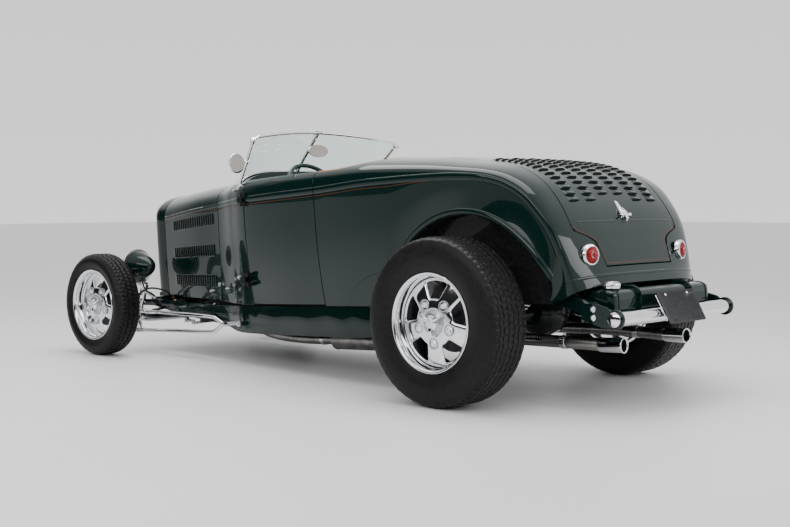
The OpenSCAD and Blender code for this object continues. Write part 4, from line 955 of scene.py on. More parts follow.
# ---------------------------------------------------------------- windshield and mirrors
pane_top = [(1521, 0, 947), (1430, half - 62, 893)]
pane_base = [(1722, 0), (1655, half - 132)]


def cowl_z(x, y):
    s = 2 + (cowl_x - x) / (cowl_x - 1770)
    return skin(s, v_at_y(s, max(abs(y), .5)))[2]


def base_point(t):
    x, y = mix(pane_base[0], pane_base[1], t)
    return Vector((x, y, cowl_z(x, y) + 12))


def top_point(t):
    return Vector(mix(pane_top[0], pane_top[1], t)) + Vector((0, 0, 10 * sin(pi * t)))


p = Piece("Windshield frame polished", "chrome", "chassis")
q = Piece("Windshield seal", "hose", "chassis")
for sg in (1, -1):
    m = lambda v: Vector((v.x, sg * v.y, v.z))
    b_ = [m(base_point(t)) for t in steps(0, 1, 20)]
    t_ = [m(top_point(t)) for t in steps(0, .93, 20)]
    post = [m(top_point(1).lerp(base_point(1), t)) for t in steps(.1, 1, 8)]
    corner = [m(top_point(.975).lerp(base_point(1), .03))]
    p.tube(b_, 7, 14)
    p.tube(t_ + corner + post, 8, 16, ref=(1, 0, .3))
    q.tube([v + Vector((0, 0, -7)) for v in b_], 6, 10)
    # knuckles at the upper corner and at the post's foot
    c = m(top_point(1).lerp(base_point(1), .06))
    d = (post[-1] - post[0]).normalized()
    p.rod(c - d * 14, c + d * 22, 12, 10.5, 20)
    for z in (-6, 14):
        p.lathe([(12.5, -3), (14.5, 0), (12.5, 3)], c + d * z, d, 24)
    p.rod(c + Vector((-12, sg * 8, -6)), c + Vector((-14, sg * 20, -8)), 6)
    foot = m(base_point(1))
    p.tube([foot + Vector((-8, sg * 5, 30)), foot + Vector((0, 0, 4)), foot + Vector((16, -sg * 8, -14))],
           lambda t: 15 - 3 * t, 20, ref=(0, 1, 0))
    p.rod(foot + Vector((-22, sg * 10, 6)), foot + Vector((10, sg * 6, -6)), 9)
    p.box(foot + Vector((18, -sg * 4, -10)), (74, 26, 14), x=(1, -.1 * sg, -.25))
    for k in (-1, 1):
        p.lathe([(6, 0), (6, 3), (3, 5), (.1, 5.4)], foot + Vector((18 + 24 * k, -sg * 4, -4 - 6 * k)),
                (.25, 0, .97), 16)
mid_b, mid_t = base_point(0), top_point(0)
p.tube([mid_b - Vector((0, 0, 10)), mid_b.lerp(mid_t, .3), mid_b.lerp(mid_t, .7), mid_t], 11, 20, flat=.75,
       ref=(0, 1, 0))
p.box(mid_t + Vector((0, 0, 1)), (34, 42, 14), x=(1, 0, -.2))
p.done(1.2, 35, replaces=["windshield_frame"])
q.done()
gl = Piece("Windshield panes", "glass", "chassis")
for sg in (1, -1):
    g = []
    for w in steps(0, 1, 6):
        row = []
        for t in steps(.02, .985, 24):
            b_, c = base_point(t), top_point(t)
            d = (c - b_).normalized()
            v = (b_ + d * 5).lerp(c - d * 5, w)
            row.append(Vector((v.x, sg * v.y, v.z)))
        g.append(row)
    n_ = (Vector(g[-1][12]) - Vector(g[0][12])).cross(Vector(g[3][20]) - Vector(g[3][4])).normalized() * 2.4
    ring = [[v + n_ for v in r] for r in g] + [[v - n_ for v in r] for r in g[::-1]]
    gl.grid(ring + [ring[0]])
    for col in (0, -1):
        gl.grid([[r[col] + n_ for r in g], [r[col] - n_ for r in g]])
gl.done(0, 30, replaces=["windshield_glass"])

p = Piece("Mirror backs", "chrome", "chassis")
q = Piece("Mirror faces", "mirror", "chassis")
oc = Vector((1528, 0, 846))
ring = lambda e, x: [oc + Vector((x, 76 * e * cos(a),
                                  35 * e * sin(a))) for a in [2 * pi * k / 64 for k in range(64)]]
p.grid([ring(.05, 15), ring(.5, 13), ring(.85, 8), ring(1, 2), ring(1, -2), ring(.97, -3.5)], True)
q.grid([ring(.97, -3), ring(.9, -3.3), ring(.01, -3.3)], True)
p.tube([(1540, 0, 846), (1575, 0, 848), (1602, 0, 852)], 5, 14)
p.lathe([(9, -4), (11, 0), (9, 4)], (1545, 0, 847), (1, 0, 0), 24)
sm = Vector((1528, half - 16, 764))
p.lathe([(50, -6), (53, -4), (53, 0), (46, 6), (28, 9), (.1, 10)], sm, (1, 0, 0), 64)
q.lathe([(50, -5.5), (40, -6), (.1, -6)], sm, (1, 0, 0), 64)
pm = base_point(1).lerp(top_point(1), .5)
p.tube(curve([tuple(sm + Vector((6, 0, 0))), (1543, half - 44, 766), (pm.x + 2, pm.y + 22, pm.z),
              (pm.x, pm.y + 7, pm.z)], 14),
       5, 14)
dd = (top_point(1) - base_point(1)).normalized()
p.rod(pm - dd * 12, pm + dd * 12, 11.5)
p.done(.8, 35, replaces=["mirrors"])
q.done()

# ---------------------------------------------------------------- inside
def soft_box(name, size, radius, place, material, body, cuts=44, shape=None, node=None):
    """A rounded block with a displaced surface: place maps (x, y, z) of the block to level mm."""
    name = name.replace(" ", "_")
    bm = bmesh.new()
    bmesh.ops.create_cube(bm, size=2)
    bmesh.ops.subdivide_edges(bm, edges=bm.edges, cuts=cuts, use_grid_fill=True)
    hx, hy_, hz = [v / 2 for v in size]
    for v in bm.verts:
        q_ = Vector((v.co.x * hx, v.co.y * hy_, v.co.z * hz))
        core = Vector((max(-hx + radius, min(hx - radius, q_.x)),
                       max(-hy_ + radius, min(hy_ - radius, q_.y)),
                       max(-hz + radius, min(hz - radius, q_.z))))
        d = q_ - core
        n_ = d.normalized() if d.length > 1e-6 else Vector((0, 0, 1))
        q_ = core + n_ * min(d.length, radius) if d.length > 1e-6 else q_
        if shape:
            q_ = shape(q_, n_)
        v.co = L(place(q_))
    me = bpy.data.meshes.new(name)
    bm.to_mesh(me)
    bm.free()
    for poly in me.polygons:
        poly.use_smooth = True
    o = bpy.data.objects.new(name, me)
    scene.collection.objects.link(o)
    give(o, material)
    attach(o, body)
    if node:
        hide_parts(node)
    return o


def frame_at(origin, deg):
    """Maps block coordinates turned by -deg about Y at origin to level mm."""
    a = math.radians(deg)
    return lambda q: (origin[0] + q.x * cos(a) - q.z * sin(a), origin[1] + q.y,
                      origin[2] + q.x * sin(a) + q.z * cos(a))


def pleated(hx, hz, hy_, pitch=62, deep=7, edge=70):
    def shape(q, n):
        top = max(0.0, min(1.0, (q.z - hz + 30) / 30))
        inside = abs(q.x) < hx - 28 and abs(q.y) < hy_ - edge
        if top > 0 and inside:
            u = (q.y / pitch) % 1
            crown = abs(sin(pi * u)) ** .55
            fade = min(1, (hx - 28 - abs(q.x)) / 16, (hy_ - edge - abs(q.y)) / 10)
            q = q - Vector((0, 0, deep * top * (1 - crown) * max(0, fade)))
        if top > 0:
            q = q - Vector((0, 0, 8 * top * (abs(q.x) / hx) ** 4 + 3 * top * math.exp(-(q.y / 26) ** 2)))
        wr = .6 * sin(q.x * .045 + q.y * .021) * sin(q.y * .05 - q.z * .03)
        return q + n * wr
    return shape


cush = lambda q: frame_at((802, 0, 78), 7)(q + Vector((235, 0, 85)))
soft_box("Seat cushion leather", (470, 880, 170), 42, cush, "leather", "chassis", 60,
         pleated(235, 85, 440),
         "seat_cushion")
back_low = 36 * (1 - cos(math.radians(14))) + 94 * sin(math.radians(14))
lean14 = math.radians(14)


def back_place(q):
    u, w = q.x + 280, q.z - 65
    return (800 - u * sin(lean14) + w * cos(lean14), q.y,
            8.6 + back_low + u * cos(lean14) + w * sin(lean14))


soft_box("Seat back leather", (560, 880, 130), 40, back_place, "leather", "chassis", 60,
         pleated(280, 65, 440),
         "seat_back")
p = Piece("Seat piping", "leather", "chassis")
p.tube([cush(Vector((232 * a, 437 * b, 60))) for a, b in
        [(1, -.9), (1, -.5), (1, 0), (1, .5), (1, .9), (.9, 1), (0, 1), (-.8, 1)]], 3.4, 10)
p.done()

# door cards, cockpit rim roll and carpet
for side, sg in (("left", 1), ("right", -1)):
    p = Piece(f"Door card {side}", "leather", f"door_{side}")
    g = []
    for s in steps(4.12, 5.9, 60):
        r = []
        for v in steps(.12, .985, 30):
            w = side_v(v, sg)
            pl = 3.5 * abs(sin(pi * (s - 4) * 11)) ** .6 if .3 < v < .8 else 3.5
            r.append(whole(s, w) - normal(s, w) * (door_t - 1 + pl - 3))
        g.append(r)
    p.grid(g)
    o = p.done(0, 60)
    so = o.modifiers.new("thick", "SOLIDIFY")
    so.thickness, so.offset = .003, 0
    q = Piece(f"Door pull {side}", "chrome", f"door_{side}")
    a_ = [whole(s, side_v(.80, sg)) - normal(s, side_v(.8, sg)) * (door_t + e) for s, e in
          ((4.7, 0), (4.75, 6), (5.05, 8), (5.1, 0))]
    q.tube(a_, 4.5, 12)
    q.done()
p = Piece("Cockpit rim roll", "leather", "chassis")
path = []
for s in steps(6.05, 7, 10) + [7 + 1.38 * sin(pi / 2 * t) for t in steps(0, 1, 16)[1:]]:
    v = v_at_y(s, opening_y(s) + 3)
    path.append(whole(s, v) - normal(s, v) * 9)
path += [whole(8.4, v) - normal(8.4, v) * 9 for v in steps(v_at_y(8.4, rear_rim_y - 6), 2, 12)]
path += [Vector((q_.x, -q_.y, q_.z)) for q_ in path[::-1]][1:]
p.tube(path, 10, 14)
p.done(0, 60)
p = Piece("Carpet", "carpet", "chassis")
for sg in (1, -1):
    p.grid([[(x, sg * y, 9.6 + .6 * sin(x * .2) * sin(y * .17)) for y in steps(140 + (x - 1300) * .03, e,
                                                                               22)]
            for x, e in [(x, min(380, 386 - max(0, x - 1600) * .12)) for x in steps(1290, 1895, 50)]])
    p.grid([[(1893 + .5 * sin(z * .3), sg * y, z) for y in steps(176, 330, 14)] for z in steps(12, 420,
                                                                                               40)])
p.grid([[(x, y, lookup(x, [(1300, 96), (1905, 236)]) + 1.2 - abs(y / 150) ** 6 * 6) for y in steps(-135,
                                                                                                   135, 24)]
        for x in steps(1303, 1900, 50)])
for sg in (1, -1):
    p.grid([[(x, sg * (lookup(x, [(1300, 136), (1905, 168)]) + 1.2), z) for z in
             steps(9, lookup(x, [(1300, 92), (1905, 230)]), 12)] for x in steps(1303, 1900, 50)])
p.done(0, 60)

# dash: panel with five dials behind the steering wheel and the middle
p, q, r_ = (Piece("Dial rims", "chrome", "chassis"), Piece("Dial faces", "dial", "chassis"),
            Piece("Dial glass", "lens", "chassis"))
nd = Piece("Dial needles", "red_deep", "chassis")
for y, z, r in ((0, 636, 44), (96, 636, 44), (182, 632, 29), (-86, 632, 29), (-156, 628, 29)):
    c, ax = Vector((1606, y, z)), (-1, 0, 0)
    p.lathe([(r + 5, 0), (r + 6, 4), (r + 3, 8), (r, 9), (r - 1.5, 6)], c, ax, 48)
    q.lathe([(r, 3), (.1, 3)], c, ax, 48)
    r_.lathe([(r, 6.5), (r * .6, 7.6), (.1, 8)], c, ax, 32)
    nd.box(c + Vector((-4, r * .28, r * .28)), (1, r * .95, 1.6), y=(0, 1, 1))
    for k in range(-5, 6):
        a = k * pi / 7 + pi / 2
        nd.box(c + Vector((-3.4, r * .84 * cos(a), r * .84 * sin(a))), (.6, r * .16, 1.2),
               y=(0, cos(a), sin(a)))
for o in (p, q, r_, nd):
    o.done(0, 40)
p = Piece("Dash roll", "leather", "chassis")
p.tube([whole(3.93, v) - normal(3.93, v) * 31 + Vector((-4, 0, 0)) for v in steps(1.15, 2.85, 50)], 8, 12)
p.done(0, 60)
p = Piece("Shift lever", "chrome", "chassis")
p.tube(curve([(1420, 0, 110), (1400, 0, 180), (1330, 0, 330), (1322, 0, 372)], 16), lambda t: 7 - 2 * t, 14)
p.lathe([(.1, -20), (12, -17), (20, -6), (20, 6), (12, 17), (.1, 20)], (1320, 0, 388), (0, 0, 1), 28)
p.done(0, 50)
p = Piece("Shift boot", "leather", "chassis")
p.lathe([(62, 0), (56, 12), (44, 18), (40, 30), (28, 38), (24, 50), (12, 60)], (1420, 0, 106), (-.1, 0, 1),
        32)
p.done(0, 60)
p = Piece("Pedals", "chrome", "chassis")
for y, w in ((235, 56), (330, 40)):
    p.box((1815, y, 150), (8, w, 84), x=(1, 0, .5))
    p.rod((1820, y, 170), (1880, y, 330), 6)
    for k in range(5):
        p.box((1809, y, 118 + k * 15), (4, w - 8, 5), x=(1, 0, .5))
p.done(1, 35)

# steering wheel: ribbed rim, three spokes of three rods each, domed hub
wc, lean = Vector((1225, 300, 600)), math.radians(35)
ax = Vector((cos(lean), 0, -sin(lean)))
ey, ez = Vector((0, 1, 0)), ax.cross(Vector((0, 1, 0)))
p = Piece("Steering rim", "rim_green", "steering_wheel")
rows_ = []
for k in range(144):
    a = 2 * pi * k / 144
    u = ey * cos(a) + ez * sin(a)
    rr = 11.6 - 1.0 * (1 if (k // 2) % 2 else 0) * 0.5
    rows_.append([wc + u * (173 + rr * cos(b)) + ax * (rr * sin(b)) for b in [2 * pi * j / 18 for j in range(18)]])
p.grid(rows_ + [rows_[0]], True)
p.done(0, 50, replaces=["steering_wheel"])
p = Piece("Steering spokes", "chrome", "steering_wheel")
for deg in (90, 210, 330):
    a = math.radians(deg)
    u = ey * cos(a) - ez * sin(a)
    w = ax.cross(u)
    for e in (-1, 0, 1):
        p.tube([wc + u * t + w * e * mix(10, 12, t / 165) - ax * (-8 * (1 - t / 165)) for t in steps(20,
                                                                                                     164,
                                                                                                     8)],
               3.2, 10)
    p.box(wc + u * 160, (18, 34, 7), x=u, y=w)
p.lathe([(34, 52), (34, 10), (38, 4), (38, 0)], wc, ax, 40)
p.done(.6, 35)
p = Piece("Horn button", "rim_green", "steering_wheel")
p.lathe([(38, 0), (30, -6), (16, -9), (.1, -10)], wc, ax, 40)
p.done(0, 50)

# ---------------------------------------------------------------- front suspension
beam_z, perch_y, kp = -105, 400, 590
p = Piece("Dropped axle", "chrome", "chassis", F)
for sg in (1, -1):
    arc = curve([(0, perch_y, beam_z + 4), (0, perch_y + 70, beam_z + 40), (0, kp - 50, -12),
                 (0, kp - 8, 0)], 20)
    path = [(0, y, beam_z) for y in steps(0, perch_y - 60, 10)] + arc
    p.tube([(a, sg * b, c) for a, b, c in path], 23.5, 24, caps=False)
    p.lathe([(22, -34), (26, -32), (26, 32), (22, 34), (9, 34.5)], (0, sg * kp, 0), (0, 0, 1), 40, True)
    p.rod((0, sg * (perch_y + 8), beam_z), (0, sg * (perch_y + 8), beam_z + 58), 12)
    p.lathe([(15, 0), (17, 3), (17, 10), (12, 14)], (0, sg * (perch_y + 8), beam_z + 22), (0, 0, 1), 32)
    p.box((22, sg * (perch_y + 10), beam_z + 2), (17, 15, 24))
    # batwing
    out = [(-12, -36), (8, -36), (30, beam_z + 30), (30, beam_z - 26), (8, -184), (-12, -184),
           (-14, beam_z - 26),
           (-14, beam_z + 30)]
    y0 = sg * (perch_y + 55.7) - 5
    p.add([(-24 + u, y0 + k, w) for k in (0, 10) for u, w in out],
          [list(range(8)), [15 - i for i in range(8)]] + [[i, (i + 1) % 8, 8 + (i + 1) % 8,
                                                           8 + i] for i in range(8)])
p.done(1.6, 35, replaces=["front_axle"])

rod_y = perch_y + 72
rear = Vector((-972, half - 148, -68))
fork = rear + Vector((136, 2, -12))
p = Piece("Hairpin rods", "chrome", "chassis", F)
q = Piece("Hairpin fittings", "steel", "chassis", F)
for sg in (1, -1):
    m = lambda v: (v[0], sg * v[1], v[2])
    for z0, z1, z2, z3 in ((-52, -48, -46, -56), (-168, -150, -132, -116)):
        path = curve([(-44, rod_y, z0), (-380, rod_y - 8, z1), (-720, fork.y + 4, z2),
                      (-780, fork.y + 2, z3), tuple(fork)], 40)
        p.tube([m(v) for v in path], 10.6, 20)
        q.rod(m((-56, rod_y, z0)), m((-96, rod_y, mix(z0, z1, .2))), 13.5, segs=6)
        for e in (-9, 9):
            q.box(m((-34, rod_y + e, z0)), (34, 4, 24))
        q.rod(m((-30, rod_y - 14, z0)), m((-30, rod_y + 14, z0)), 6.5)
        q.bolt(m((-30, rod_y + 12, z0)), (0, sg, 0), 7.5, 6)
    q.rod(m(fork + Vector((14, 0, 0))), m(rear + Vector((14, 0, 0))), 11)
    q.rod(m(fork + Vector((-20, 0, 2))), m(fork + Vector((-56, 0, 6))), 14.5, segs=6)
    q.lathe([(8, -10), (17, -9), (18, -6), (18, 6), (17, 9), (8, 10)], m(rear), (0, 1, 0), 40)
    q.bolt(m(rear + Vector((0, 10, 0))), (0, sg, 0), 10, 8)
p.done(0, 40, replaces=["radius_rods"])
q.done(.6, 35)

# shock absorbers: chrome bodies and shafts
p = Piece("Front shocks", "chrome", "chassis", F)
for sg in (1, -1):
    a, b = Vector((50, sg * 410, -96)), Vector((60, sg * 357, 96))
    m_ = a.lerp(b, .45)
    p.rod(a, m_ + (b - m_) * .1, 17.4, segs=32)
    p.rod(m_, b, 23.4, segs=32, edge=3)
    d = (b - a).normalized()
    for t in (0, 1):
        c = a.lerp(b, t)
        p.lathe([(6, -13), (15, -12), (16, 0), (15, 12), (6, 13)], c, (0, 1, 0), 28)
p.done(0, 35, replaces=["shock_absorbers"])
p = Piece("Rear coil shocks", "chrome", "chassis")
q = Piece("Rear springs", "steel", "chassis")
for sg in (1, -1):
    a = Vector((axle_rear[0] - 62, sg * 380, axle_rear[1] - 34))
    b = Vector((axle_rear[0] - 196, sg * 344, 58))
    p.rod(a, a.lerp(b, .5), 22, segs=28)
    p.rod(a.lerp(b, .5), b, 12, segs=24)
    for t in (.38, .97):
        c = a.lerp(b, t)
        p.lathe([(22, -3), (40, -2), (41, 2), (22, 3)], c, b - a, 36)
    d = (b - a).normalized()
    u = d.orthogonal().normalized()
    w = d.cross(u)
    q.tube([a.lerp(b, mix(.4, .96,
                          t)) + 34 * (u * cos(2 * pi * 6 * t) + w * sin(2 * pi * 6 * t)) for t in steps(0,
                                                                                                        1,
                                                                                                        150)],
           5.5, 10)
p.done(0, 35)
q.done(0, 50)

# brake hoses and a fitting at the front
p = Piece("Brake hoses", "hose", "chassis", F)
q = Piece("Brake fittings", "brass", "chassis", F)
for sg in (1, -1):
    p.tube([(v[0], sg * v[1], v[2]) for v in curve(
        [(-150, 300, 20), (-150, 360, 66), (-110, 440, 84), (-84, 500, 50), (-74, 520, 6)], 40)], 5.5, 12)
    q.rod((-150, sg * 285, 12), (-150, sg * 306, 26), 8, segs=6)
    q.rod((-74, sg * 520, 10), (-72, sg * 521, -14), 8, segs=6)
p.done(0, 50)
q.done(0, 35)
# leaf clips and centre bolts
p = Piece("Spring bolts", "chrome", "chassis")
for sg in (1, -1):
    for dx in (-28, 28):
        p.rod((axle_front[0] + dx, sg * 46, -22), (axle_front[0] + dx, sg * 46, 54), 5)
        p.bolt((axle_front[0] + dx, sg * 46, 50), (0, 0, 1), 9, 8)
p.done(0, 35)

# ---------------------------------------------------------------- rear: tank, bar, plate, exhaust
tank_x, tank_z, tank_hw = (-664, -440), (-50, 62), 390
p = Piece("Tank skin", "paint", "chassis")
rows_ = []
for k in range(96):
    a = 2 * pi * k / 96
    n_ = 5
    u, w = cos(a), sin(a)
    r = (abs(u) ** n_ + abs(w) ** n_) ** (-1 / n_)
    rows_.append((u * r, w * r))
cx, cz = (tank_x[0] + tank_x[1]) / 2, (tank_z[0] + tank_z[1]) / 2
hx, hz = (tank_x[1] - tank_x[0]) / 2 + .8, (tank_z[1] - tank_z[0]) / 2 + .8
g = []
for t, y in [(.05, -1), (.5, -1), (.8, -.999), (.93, -.993), (.985, -.975),
             (1, -.95)] + [(1, v) for v in steps(-.9, .9, 30)] \
        + [(1, .95), (.985, .975), (.93, .993), (.8, .999), (.5, 1), (.05, 1)]:
    in_ = 1 - t
    g.append([(cx + u * (hx - in_ * hz), y * (tank_hw + .6), cz + w * (hz - in_ * hz)) for u, w in rows_])
p.grid([r + [r[0]] for r in g], caps=True)
p.done(0, 40)
p = Piece("Tank straps", "paint", "chassis")
for y in (-210, 210):
    out = [(cx + u * (hx + 2.2), y, cz + w * (hz + 2.2)) for u, w in rows_]
    p.tube(out[4:92], 15, 12, flat=.16, ref=(0, 1, 0))
p.done(0, 40)
p = Piece("Tank seam", "paint", "chassis")
p.tube([(cx + u * (hx + 1), tank_hw - 30, cz + w * (hz + 1)) for u,
        w in rows_] + [(cx + hx + 1, tank_hw - 30, cz)], 2.4, 8)
p.tube([(cx + u * (hx + 1), 30 - tank_hw, cz + w * (hz + 1)) for u,
        w in rows_] + [(cx + hx + 1, 30 - tank_hw, cz)], 2.4, 8)
p.done(0, 50)
p = Piece("Filler neck", "hose", "chassis")
prof = [(30, 58)]
for k in range(6):
    prof += [(27.4, 61 + k * 3.2), (29.6, 62.4 + k * 3.2)]
p.lathe([(r, z - 66) for r, z in prof], (-616, 338, 66), (0, 0, 1), 48)
p.done(0, 50)
p = Piece("Filler cap", "chrome", "chassis")
p.lathe([(30, -3), (38, -2), (40, 2), (40, 14), (38, 20), (31, 26), (18, 30), (.1, 31.5)], (-616, 338, 68),
        (0, 0, 1), 64)
for k in range(24):
    a = 2 * pi * k / 24
    p.rod((-616 + 36.6 * cos(a), 338 + 36.6 * sin(a), 72), (-616 + 36.6 * cos(a), 338 + 36.6 * sin(a), 82),
          1.7, segs=8)
p.done(.6, 35)

p = Piece("Rear bar chrome", "chrome", "chassis")
p.tube([(-709, y, -58) for y in steps(-470, 470, 40)], 31.6, 48, caps=False)
for sg in (1, -1):
    p.lathe([(31.6, 0), (31, 3), (24, 7), (12, 9.6), (.1, 10)], (-709, sg * 468, -58), (0, sg, 0), 48)
p.done(.5, 35, replaces=["rear_bar"])
p = Piece("Rear bar brackets", "paint", "chassis")
q = Piece("Rear bar bolts", "chrome", "chassis")
for sg in (1, -1):
    y = 454.3 * sg
    out = [(-709 + 42 * cos(a), -58 + 42 * sin(a)) for a in [math.radians(d_) for d_ in range(60, 301, 16)]]
    out += [(-640, -92), (-560, -66), (-540, -40), (-540, 6), (-600, 12), (-670, -8)]
    p.add([(x, y + e, z) for e in (-6, 6) for x, z in out],
          [list(range(len(out)))[::-1], [len(out) + i for i in range(len(out))]] +
          [[i, (i + 1) % len(out), len(out) + (i + 1) % len(out), len(out) + i] for i in range(len(out))])
    for x, z in ((-600, -50), (-600, -14)):
        q.bolt((x, y + sg * 6, z), (0, sg, 0), 9.5, 8)
        q.lathe([(14, 0), (14, 2), (8, 2.4)], (x, y + sg * 6, z), (0, sg, 0), 24)
p.done(1.2, 35)
q.done(.6, 35)

# licence plate: blank, with a rolled edge and slots for the bolts
lean_p = math.radians(25)
low_p = Vector((-779, 0, -99))
up_p, out_p = Vector((sin(lean_p), 0, cos(lean_p))), Vector((-cos(lean_p), 0, sin(lean_p)))
p = Piece("Blank plate", "plate", "chassis")
q = Piece("Plate fittings", "chrome", "chassis")
dark = Piece("Plate slots", "soot_and_painted_shade", "chassis")
rr = []
for w_, e in ((152.2, 1.6), (151.8, 3.4), (149, 4.4), (146, 3.4), (144, 2.2)):
    pts = []
    for sx, sz in ((1, 1), (-1, 1), (-1, -1), (1, -1)):
        for k in range(7):
            a = math.atan2(sz, sx) - pi / 4 + pi / 2 * k / 6
            pts.append(low_p + up_p * 76 + Vector((0, sx * (w_ - 10),
                                                   0)) + up_p * sz * (w_ - 76.2 - 10) + out_p * e
                       + Vector((0, cos(a) * 10, 0)) + up_p * sin(a) * 10)
    rr.append(pts)
p.grid([r + [r[0]] for r in rr])
p.add(rr[-1], [list(range(len(rr[-1])))])
p.done(0, 35)
# each bolt slot is a thin near-black box on the plate: painted shade in the slot
for sy in (-90, 90):
    for sz in (16, 136):
        c = low_p + Vector((0, sy, 0)) + up_p * sz + out_p * 2.6
        dark.box(c, (16, 6, 1), x=(0, 1, 0), y=up_p)
        if sz > 100:
            q.lathe([(6.5, 0), (6.4, 2), (3, 3.6), (.1, 4)], c + out_p * .4, out_p, 24)
q.done(.3, 35)
dark.done()
p = Piece("Plate frame tube", "chrome", "chassis")
p.tube([low_p + Vector((0, y, 0)) + up_p * z - out_p * 6 for y, z in
        ((-150, 20), (-150, 140), (-100, 148), (100, 148), (150, 140), (150, 20))], 4, 10)
p.done()

tip_end = Vector((-617, 259, -183))
p = Piece("Exhaust pipes", "exhaust", "chassis")
q = Piece("Exhaust tips", "chrome", "chassis")
so_ = Piece("Exhaust inside", "soot_and_painted_shade", "chassis")
fl = Piece("Exhaust flanges", "steel", "chassis")
run = [(2010, 228.5, -40), (1900, 232, -92), (1740, 232, -162), (1500, 220, -192), (1250, 202, -196)]
run2 = [(790, 210, -196), (560, 262, -186), (250, 300, -160), (0, 306, -158), (-280, 296, -168),
        (-500, 269, -180)]
dt = Vector((-1, -.08, -.02)).normalized()
for sg in (1, -1):
    m = lambda v: (v[0], sg * v[1], v[2])
    p.tube([m(v) for v in curve(run, 40)], 28.4, 24)
    p.tube([m(v) for v in curve(run2, 60)], 28.4, 24)
    ax_m = Vector((-430, sg * 10, 0))
    p.lathe([(29, -14), (34, -10), (46, -3), (52, 6), (53.4, 9), (53.4, 424), (52, 428), (46, 436),
             (34, 443), (29, 447)],
            (1231, sg * 200, -196), ax_m, 48)
    for t in (.03, .97):
        p.lathe([(53, -4), (55, -2), (55, 2), (53, 4)], Vector((1231, sg * 200, -196)) + ax_m * t, ax_m, 48)
    d_ = Vector((dt.x, sg * dt.y, dt.z))
    e_ = Vector(m(tip_end))
    q.lathe([(28.6, -122), (30, -118), (32.5, -112), (32.8, -10), (34.5, -4), (34.2, .5), (30, .8),
             (27.2, -3), (27, -40)], e_, d_, 64)
    # a near-black cone down in each tip's bore: soot and painted shade inside the pipe
    so_.lathe([(27.4, -6), (26.6, -58), (.1, -60)], e_, d_, 40)
    for x, y, z in ((1320, 206, -196), (700, 232, -191), (-330, 292, -170)):
        c = Vector((x, sg * y, z))
        fl.lathe([(29, -14), (31.5, -13), (31.5, 13), (29, 14)], c, (1, 0, 0), 32)
        fl.rod(c + Vector((0, 0, 26)), c + Vector((0, 0, 42)), 5)
        fl.bolt(c + Vector((0, 0, 38)), (0, 0, 1), 7, 6)
p.done(0, 35, replaces=["exhaust"])
q.done(.4, 35)
so_.done(0, 40)
fl.done(.5, 35)

# ---------------------------------------------------------------- CAD nodes shown as they are
KEEP = {"frame_rails": "frame_green", "floor_pan": "floor_paint", "wheel_wells": "satin", "engine": "iron",
        "rear_axle": "axle_black", "front_spring": "satin", "steering_column": "black", "tie_rod": "chrome",
        "drag_link": "chrome", "pitman_arm": "steel", "knuckle_left": "chrome", "knuckle_right": "chrome",
        "dashboard": "paint", "fuel_tank": "paint"}
for name, material in KEEP.items():
    o = NODES[name]
    give(o, material)
    for poly in o.data.polygons:
        poly.use_smooth = True
    w = o.modifiers.new("weld", "WELD")
    w.merge_threshold = 1e-5
    b_ = o.modifiers.new("round", "BEVEL")
    b_.width, b_.segments, b_.limit_method, b_.angle_limit = .0012, 2, "ANGLE", math.radians(35)
    b_.harden_normals = True

# frame rail trim: flange bolts under the door
p = Piece("Body bolts", "steel", "chassis")
for sg in (1, -1):
    for x in (420, 980, 1500, 2020):
        p.bolt((x, sg * 398, 6), (0, 0, 1), 8, 6)
p.done(.6, 35)

# ---------------------------------------------------------------- floor, light and camera
fl_me = bpy.data.meshes.new("Studio_floor")
fl_me.from_pydata([(-40, -40, 0), (40, -40, 0), (40, 40, 0), (-40, 40, 0)], [], [(0, 1, 2, 3)])
floor = bpy.data.objects.new("Studio_floor", fl_me)
scene.collection.objects.link(floor)
mf = bpy.data.materials.new("Studio_floor")
mf.use_nodes = True
nt = mf.node_tree
bs = nt.nodes["Principled BSDF"]
tc, ns, rp = nt.nodes.new("ShaderNodeTexCoord"), nt.nodes.new("ShaderNodeTexNoise"), nt.nodes.new("ShaderNodeValToRGB")
ns.inputs["Scale"].default_value = .8
ns.inputs["Detail"].default_value = 6
rp.color_ramp.elements[0].color, rp.color_ramp.elements[1].color = (.74, .74, .745, 1), (.8, .8, .8, 1)
nt.links.new(tc.outputs["Object"], ns.inputs["Vector"])
nt.links.new(ns.outputs["Fac"], rp.inputs["Fac"])
nt.links.new(rp.outputs["Color"], bs.inputs["Base Color"])
bs.inputs["Roughness"].default_value = .45
fl_me.materials.append(mf)

world = bpy.data.worlds.new("Studio") if not scene.world else scene.world
scene.world = world
world.use_nodes = True
wn = world.node_tree
wn.nodes.clear()
out_w, bg = wn.nodes.new("ShaderNodeOutputWorld"), wn.nodes.new("ShaderNodeBackground")
tc, sep = wn.nodes.new("ShaderNodeTexCoord"), wn.nodes.new("ShaderNodeSeparateXYZ")
wn.links.new(tc.outputs["Generated"], sep.inputs["Vector"])


def sky(stops):
    """A ramp of grey over the direction's height, -1 to 1 brought to 0 to 1."""
    rise, node = wn.nodes.new("ShaderNodeMapRange"), wn.nodes.new("ShaderNodeValToRGB")
    rise.inputs["From Min"].default_value = -1
    wn.links.new(sep.outputs["Z"], rise.inputs["Value"])
    wn.links.new(rise.outputs["Result"], node.inputs["Fac"])
    e = node.color_ramp.elements
    for (pos, c), el in zip(stops, [e[0], e[1]] + [e.new(q_[0]) for q_ in stops[2:]]):
        el.position, el.color = pos, (c, c, c * 1.01, 1)
    return node.outputs["Color"]


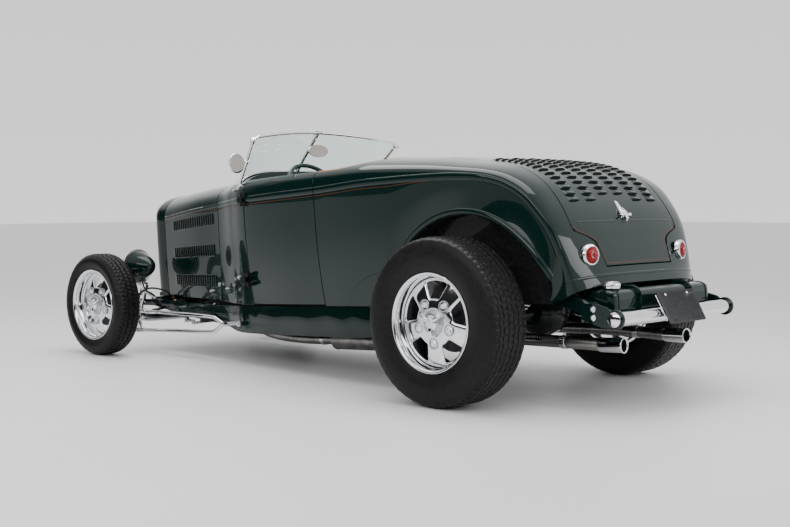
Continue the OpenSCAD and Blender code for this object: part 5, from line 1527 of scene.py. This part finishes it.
# pale behind the car, and a dark hall with a lit ceiling behind the camera
pale = sky([(0, .9), (1, 1.3), (.49, 1.25), (.52, 1.2), (.60, 1.1), (.72, 1.1), (.85, 1.3)])
dark = sky([(0, .20), (1, 1.3), (.49, .10), (.51, .015), (.60, .02), (.68, .05), (.75, 1.1)])
aim, side = wn.nodes.new("ShaderNodeVectorMath"), wn.nodes.new("ShaderNodeMapRange")
aim.operation = "DOT_PRODUCT"
aim.inputs[1].default_value = (.25, .97, 0)
side.inputs["From Min"].default_value, side.inputs["From Max"].default_value = 0, .6
blend = wn.nodes.new("ShaderNodeMixRGB")
wn.links.new(tc.outputs["Generated"], aim.inputs[0])
wn.links.new(aim.outputs["Value"], side.inputs["Value"])
wn.links.new(side.outputs["Result"], blend.inputs["Fac"])
wn.links.new(pale, blend.inputs["Color1"])
wn.links.new(dark, blend.inputs["Color2"])
wn.links.new(blend.outputs["Color"], bg.inputs["Color"])
bg.inputs["Strength"].default_value = 1.0
wn.links.new(bg.outputs["Background"], out_w.inputs["Surface"])


def area(name, at, to, size, power, size_y=None):
    light = bpy.data.lights.new(name, "AREA")
    light.shape, light.size, light.size_y, light.energy = "RECTANGLE", size, size_y or size, power
    o = bpy.data.objects.new(name, light)
    o.location = at
    o.rotation_euler = (Vector(to) - Vector(at)).to_track_quat("-Z", "Y").to_euler()
    scene.collection.objects.link(o)
    return o


area("Overhead", (0, .2, 3.6), (0, 0, 0), 5.2, 150, 2.2)
area("Side_strip", (-1, 5.2, 2.6), (0, 0, .4), 6, 110, 1.4)
area("Tail_strip", (-5.4, -1.4, 2.4), (-1, 0, .5), 3.4, 60, 1.2)

cam_data = bpy.data.cameras.new("Camera")
cam = bpy.data.objects.new("Camera", cam_data)
scene.collection.objects.link(cam)
scene.camera = cam
cam_data.lens, cam_data.sensor_width, cam_data.sensor_fit = 55.9, 36, "HORIZONTAL"
yaw, pitch, roll = math.radians(-46.44), math.radians(-2.95), math.radians(-.14)
look = Vector((cos(yaw) * cos(pitch), sin(yaw) * cos(pitch), sin(pitch)))
rot = look.to_track_quat("-Z", "Y").to_matrix() @ Matrix.Rotation(roll, 3, "Z")
cam.matrix_world = Matrix.Translation((-4.6279, 4.7353, .9023)) @ rot.to_4x4()
